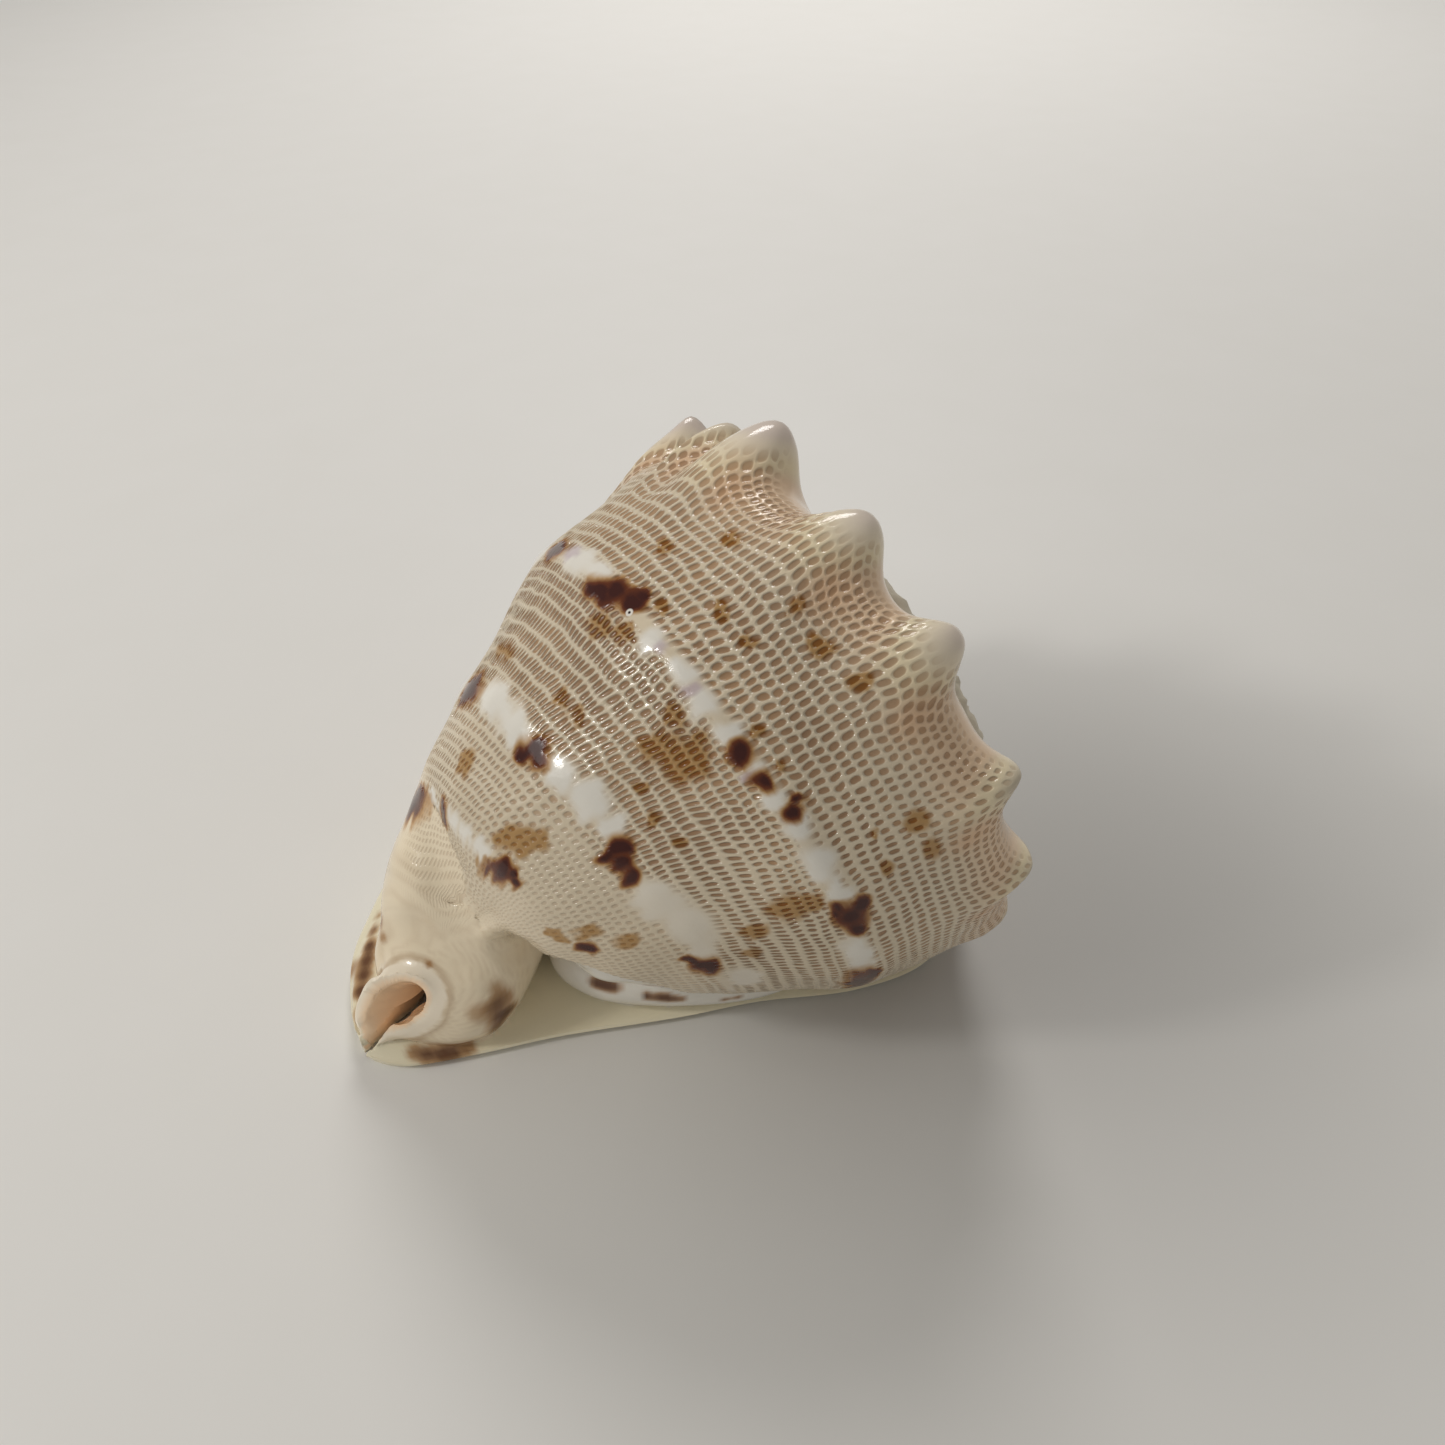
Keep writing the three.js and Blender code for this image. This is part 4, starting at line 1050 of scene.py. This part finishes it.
dulled = 0.45 * smoothstep(angle, *DULL_ANGLES) * smoothstep(depth, *DULL_DEPTHS)
lay(np.where(on_body, (1.0 - dulled) * smoothstep(white, *WHITE_RANGE), 0), WHITE_TONE)
lay(np.where(on_body, 0.8 * smoothstep(lilac, *LILAC_RANGE), 0), LILAC_TONE)
tip = np.where(on_body, smoothstep(on_knob, *TIP_RANGE), 0)
lay(np.where(on_body, smoothstep(on_knob, *CREAM_RANGE), 0), CREAM_TONE)
lay(0.7 * tip, TIP_TONE)
flank_depths = np.exp(-((depth - FLANK_DEPTH) / FLANK_HALF_DEPTH) ** 2)
for place, _, width, _, _ in KNOBS:
    side = np.exp(-(((angle - place) / width - FLANK_PLACE) / FLANK_HALF_WIDTH) ** 2)
    lay(np.where(on_body, 0.5 * side * flank_depths, 0), FLANK_TONE)
lay(0.4 * tip * smoothstep(on_knob, *TIP_END_RANGE), LILAC_TONE)
worn = tip * smoothstep(angle, *WORN_ANGLES)
lay(0.8 * worn, WORN_TONE)
between_knobs = 1 - smoothstep(on_knob, *VALLEY_KNOB_RANGE)
valley = np.where(on_body, smoothstep(depth, *VALLEY_DEPTHS) * between_knobs, 0)
lay(0.6 * valley, PEACH_TONE)
lay(np.where(on_body, np.maximum(anterior, back_join), 0), IVORY_TONE)
lay(strip, WHITE_TONE)
lay(eroded.astype(float), GREY_TONE)
lay(on_neck.astype(float), IVORY_TONE)
lines = 0.5 + 0.5 * np.sin(GROWTH_PACE * depth + uneven(coil_plane, GROWTH_WAVE))
lay(np.where(on_coil, 0.16 * lines**3 * smoothstep(depth, *GROWTH_DEPTHS), 0), GROWTH_AND_SHADOW_TONE)
lay((region == BASE).astype(float), SHIELD_TONE)
lay((region == RIDGE_SIDE).astype(float), WHITE_TONE)
inside = region == INSIDE
# The inside is painted paler than its own peach: painted light for light coming through the thin shell
lay(inside.astype(float), CANAL_TONE_AND_GLOW)
from_apex = vertices[:, 0] - APEX[0]
# Deep in the bore the inside is painted dark brown: painted shade of the hole
hole_shade = np.where(inside, smoothstep(from_apex, *HOLE_SHADE_PLACES), 0)
lay(0.85 * hole_shade, HOLE_SHADE_TONE)
# Just behind the rim the neck is painted darker in a band: painted shadow of the rim's edge
at_rim = on_neck * (from_apex < RIM_PLACE)
rim = soften_weight(NECK_SIDE, INSIDE, RIM_REACH)
painted_rim_shadow = smoothstep(rim, *RIM_SHADOW_BAND[:2]) * (1.0 - smoothstep(rim, *RIM_SHADOW_BAND[2:]))
lay(0.4 * at_rim * painted_rim_shadow, GROWTH_AND_SHADOW_TONE)
lay(at_rim * smoothstep(rim, *RIM_RANGE), RIM_TONE)
stains = stain_amount()
lay(0.8 * smoothstep(stains, *STAIN_EDGE_RANGE), STAIN_EDGE_TONE)
lay(0.9 * smoothstep(stains, *STAIN_RANGE), STAIN_TONE)


# The finished mesh, with crisp edges where the rim and the base turn sharply
mesh = bpy.data.meshes.new("helmet_shell")
mesh.from_pydata((lifted * MM).tolist(), [], triangles.tolist())
mesh.update()
mesh.shade_smooth()
mesh.set_sharp_from_angle(angle=SHARP_ANGLE)
edge_ends = np.empty(2 * len(mesh.edges), dtype=np.int32)
mesh.edges.foreach_get("vertices", edge_ends)
sharp = np.empty(len(mesh.edges), dtype=bool)
mesh.attributes["sharp_edge"].data.foreach_get("value", sharp)
rounded = (on_body | (region == SPIRE)) & (lip_join < 0.5)
sharp &= ~rounded[edge_ends.reshape(-1, 2)].any(axis=1)
mesh.attributes["sharp_edge"].data.foreach_set("value", sharp)


def put_value(name, values):
    mesh.attributes.new(name, "FLOAT", "POINT").data.foreach_set("value", values.astype(np.float32))


put_value("net", net)
put_value("net_row", net_row)
put_value("net_cell", net_cell)
put_value("pit_narrowing", pit_narrowing)
put_value("dark", dark)
put_value("ochre", ochre)
put_value("eroded", np.maximum(eroded, 0.6 * worn))
tones = mesh.color_attributes.new("tone", "FLOAT_COLOR", "POINT")
opaque_tone = np.column_stack([tone, np.ones(len(tone))]).astype(np.float32)
tones.data.foreach_set("color", opaque_tone.ravel())
old_mesh = shell.data
shell.data = mesh
bpy.data.meshes.remove(old_mesh)


# Material
class Nodes:
    """Short calls for building a node tree; inputs are sockets or plain values."""

    def __init__(self, material):
        material.use_nodes = True
        self.tree = material.node_tree
        self.shader = self.tree.nodes["Principled BSDF"]

    def feed(self, socket, value):
        if isinstance(value, bpy.types.NodeSocket):
            self.tree.links.new(value, socket)
        else:
            socket.default_value = value

    def math(self, operation, *values):
        node = self.tree.nodes.new("ShaderNodeMath")
        node.operation = operation
        for socket, value in zip(node.inputs, values):
            self.feed(socket, value)
        return node.outputs[0]

    def step(self, value, low, high):
        node = self.tree.nodes.new("ShaderNodeMapRange")
        node.interpolation_type = "SMOOTHSTEP"
        self.feed(node.inputs["Value"], value)
        node.inputs["From Min"].default_value = low
        node.inputs["From Max"].default_value = high
        return node.outputs["Result"]

    def attribute(self, name, output="Fac"):
        node = self.tree.nodes.new("ShaderNodeAttribute")
        node.attribute_name = name
        return node.outputs[output]

    def noise(self, scale, detail=3.0):
        place = self.tree.nodes.new("ShaderNodeTexCoord")
        node = self.tree.nodes.new("ShaderNodeTexNoise")
        self.tree.links.new(place.outputs["Object"], node.inputs["Vector"])
        node.inputs["Scale"].default_value = scale
        node.inputs["Detail"].default_value = detail
        return node.outputs["Fac"]

    def distance_to(self, point):
        place = self.tree.nodes.new("ShaderNodeTexCoord")
        node = self.tree.nodes.new("ShaderNodeVectorMath")
        node.operation = "DISTANCE"
        self.tree.links.new(place.outputs["Object"], node.inputs[0])
        node.inputs[1].default_value = point
        return node.outputs["Value"]

    def mix(self, amount, first, second, blend="MIX"):
        node = self.tree.nodes.new("ShaderNodeMix")
        node.data_type = "RGBA"
        node.blend_type = blend
        self.feed(node.inputs["Factor"], amount)
        self.feed(node.inputs[6], first)
        self.feed(node.inputs[7], second)
        return node.outputs[2]

    def bump(self, height, distance, strength, normal=None):
        node = self.tree.nodes.new("ShaderNodeBump")
        self.feed(node.inputs["Height"], height)
        node.inputs["Distance"].default_value = distance
        node.inputs["Strength"].default_value = strength
        if normal is not None:
            self.tree.links.new(normal, node.inputs["Normal"])
        return node.outputs["Normal"]


def rgba(code):
    return (*colour(code), 1.0)


# A small hole bored by a worm, drawn only in colour: its place, and the radii where its pale rim and
# its dark inside, painted shade for the hole, begin and end
WORM_HOLE = Vector((-2.9, -11.4, 103.0)) * MM
WORM_RIM = (1.0 * MM, 0.7 * MM)
WORM_HOLE_SHADE = (0.5 * MM, 0.35 * MM)

# Fine relief in the material, and the polish, which is lost where the shell is worn
PIT_BUMP = 0.32 * MM
GRAIN_BUMP, GRAIN_STRENGTH = 0.12 * MM, 0.25
POLISH_ROUGHNESS, WORN_ROUGHNESS = 0.13, 0.45
SHINE = 0.4


def shell_material():
    material = bpy.data.materials.new("polished_shell")
    n = Nodes(material)
    row, cell = n.attribute("net_row"), n.attribute("net_cell")
    whole = n.math("FLOOR", row)
    shift = n.math("MULTIPLY_ADD", n.math("SINE", n.math("MULTIPLY", whole, ROW_PACE)), ROW_SHIFT,
                   n.math("MULTIPLY", n.math("FLOORED_MODULO", whole, 2.0), 0.5))
    in_row = n.math("FRACT", row)
    across = n.math("DIVIDE", n.math("ABSOLUTE", n.math("SUBTRACT", in_row, 0.5)), PIT_HALF_ROW)
    in_cell = n.math("FRACT", n.math("ADD", cell, shift))
    along = n.math("DIVIDE", n.math("ABSOLUTE", n.math("SUBTRACT", in_cell, 0.5)), PIT_HALF_CELL)
    spread = n.math("ADD", n.math("POWER", across, PIT_POWER), n.math("POWER", along, PIT_POWER))
    spread = n.math("MULTIPLY", spread, n.attribute("pit_narrowing"))
    pit = n.math("SUBTRACT", 1.0, n.step(spread, *PIT_EDGE))
    pit = n.math("MULTIPLY", pit, n.attribute("net"))
    hollow_shape = n.math("SUBTRACT", 1.0, n.step(spread, *PIT_SLOPE))
    hollow_shape = n.math("MULTIPLY", hollow_shape, n.attribute("net"))
    ragged = n.math("MULTIPLY_ADD", n.noise(320.0), 0.6, -0.3)
    broad = n.noise(60.0, 2.0)
    base_tone = n.attribute("tone", "Color")
    pit_tone = n.mix(n.step(broad, 0.35, 0.65), rgba("ac835c"), rgba("926a47"))
    surface = n.mix(n.math("MULTIPLY", pit, 0.85), base_tone, pit_tone)
    stain = n.step(n.math("ADD", n.attribute("ochre"), ragged), -0.35, 0.35)
    stain = n.math("MULTIPLY", stain, n.math("MULTIPLY_ADD", pit, 0.2, 0.8))
    surface = n.mix(stain, surface, rgba("c2953f"), "MULTIPLY")
    mark = n.math("ADD", n.attribute("dark"), n.math("MULTIPLY", ragged, 0.7))
    halo = n.math("MULTIPLY", n.step(mark, -0.75, -0.1), 0.9)
    surface = n.mix(halo, surface, rgba("c79a58"), "MULTIPLY")
    surface = n.mix(n.step(mark, -0.3, 0.18), surface, rgba("6b3314"))
    surface = n.mix(n.step(mark, 0.0, 0.55), surface, rgba("401710"))
    reach = n.distance_to(WORM_HOLE)
    surface = n.mix(n.step(reach, *WORM_RIM), surface, rgba("efe9df"))
    # The middle of the worm hole is painted dark: painted shade for the hole
    surface = n.mix(n.step(reach, *WORM_HOLE_SHADE), surface, rgba("2a1a12"))
    rough = n.math("MULTIPLY_ADD", n.attribute("eroded"), WORN_ROUGHNESS, POLISH_ROUGHNESS)
    height = n.math("SUBTRACT", 1.0, hollow_shape)
    normal = n.bump(height, PIT_BUMP, 1.0)
    normal = n.bump(n.noise(700.0, 4.0), GRAIN_BUMP, GRAIN_STRENGTH, normal)
    n.feed(n.shader.inputs["Base Color"], surface)
    n.feed(n.shader.inputs["Roughness"], rough)
    n.feed(n.shader.inputs["Normal"], normal)
    n.shader.inputs["Specular IOR Level"].default_value = SHINE
    return material


mesh.materials.append(shell_material())
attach(shell, "root")
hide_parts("shell")

# Floor, painted darker round a spot beside the shell as a painted shadow
floor_mesh = bpy.data.meshes.new("floor")
floor_mesh.from_pydata([(-FLOOR_HALF, -FLOOR_HALF, 0), (FLOOR_HALF, -FLOOR_HALF, 0),
                        (FLOOR_HALF, FLOOR_HALF, 0), (-FLOOR_HALF, FLOOR_HALF, 0)], [], [(0, 1, 2, 3)])
floor = bpy.data.objects.new("floor", floor_mesh)
bpy.context.scene.collection.objects.link(floor)
floor_material = bpy.data.materials.new("table_top")
floor_nodes = Nodes(floor_material)
floor_tint = floor_nodes.mix(floor_nodes.noise(30.0, 4.0), rgba("e6e4df"), rgba("e9e7e3"))
# The floor is painted darker near a centre to the right of the shell: a painted shadow
painted_shadow = floor_nodes.step(floor_nodes.distance_to(PAINTED_SHADOW_CENTRE), PAINTED_SHADOW_REACH, 0.0)
floor_tint = floor_nodes.mix(painted_shadow, floor_tint, rgba("c0beba"))
floor_nodes.feed(floor_nodes.shader.inputs["Base Color"], floor_tint)
floor_nodes.shader.inputs["Roughness"].default_value = FLOOR_ROUGHNESS
floor_mesh.materials.append(floor_material)


# Light: a window on the left with a small lamp in it, a light far behind, and a soft room
def area_light(name, place, aim, size, power, tint):
    data = bpy.data.lights.new(name, "AREA")
    data.shape = "DISK"
    data.size = size
    data.energy = power
    data.spread = LIGHT_SPREAD
    data.color = tint
    light = bpy.data.objects.new(name, data)
    bpy.context.scene.collection.objects.link(light)
    light.location = Vector(place)
    light.rotation_euler = (Vector(aim) - Vector(place)).to_track_quat("-Z", "Y").to_euler()


def light_place(turn, rise, reach):
    """A place at a heading and a height in degrees, and at a distance from the shell."""
    turn, rise = math.radians(turn), math.radians(rise)
    return (reach * math.cos(rise) * math.cos(turn), reach * math.cos(rise) * math.sin(turn),
            reach * math.sin(rise) + SHELL_MIDDLE[2])


window_place = light_place(*WINDOW_PLACE)
area_light("window", window_place, SHELL_MIDDLE, WINDOW_SIZE, WINDOW_POWER, WINDOW_TINT)
area_light("lamp", window_place, SHELL_MIDDLE, LAMP_SIZE, LAMP_POWER, WINDOW_TINT)
area_light("back", BACK_PLACE, BACK_AIM, BACK_SIZE, BACK_POWER, BACK_TINT)
world = bpy.data.worlds.new("room")
world.use_nodes = True
background = world.node_tree.nodes["Background"]
background.inputs["Color"].default_value = ROOM_TINT
background.inputs["Strength"].default_value = ROOM_STRENGTH
bpy.context.scene.world = world
bpy.context.scene.view_settings.view_transform = "Standard"

# Camera
camera_data = bpy.data.cameras.new("camera")
camera_data.lens = FOCAL_LENGTH
camera_data.sensor_width = SENSOR
camera_data.clip_start = CLIP_START
camera = bpy.data.objects.new("camera", camera_data)
bpy.context.scene.collection.objects.link(camera)
right, up = Vector(CAMERA_RIGHT).normalized(), Vector(CAMERA_UP).normalized()
back = right.cross(up)
turned = Matrix((right, up, back)).transposed().to_4x4()
camera.matrix_world = Matrix.Translation(Vector(CAMERA_PLACE) * MM) @ turned
bpy.context.scene.camera = camera
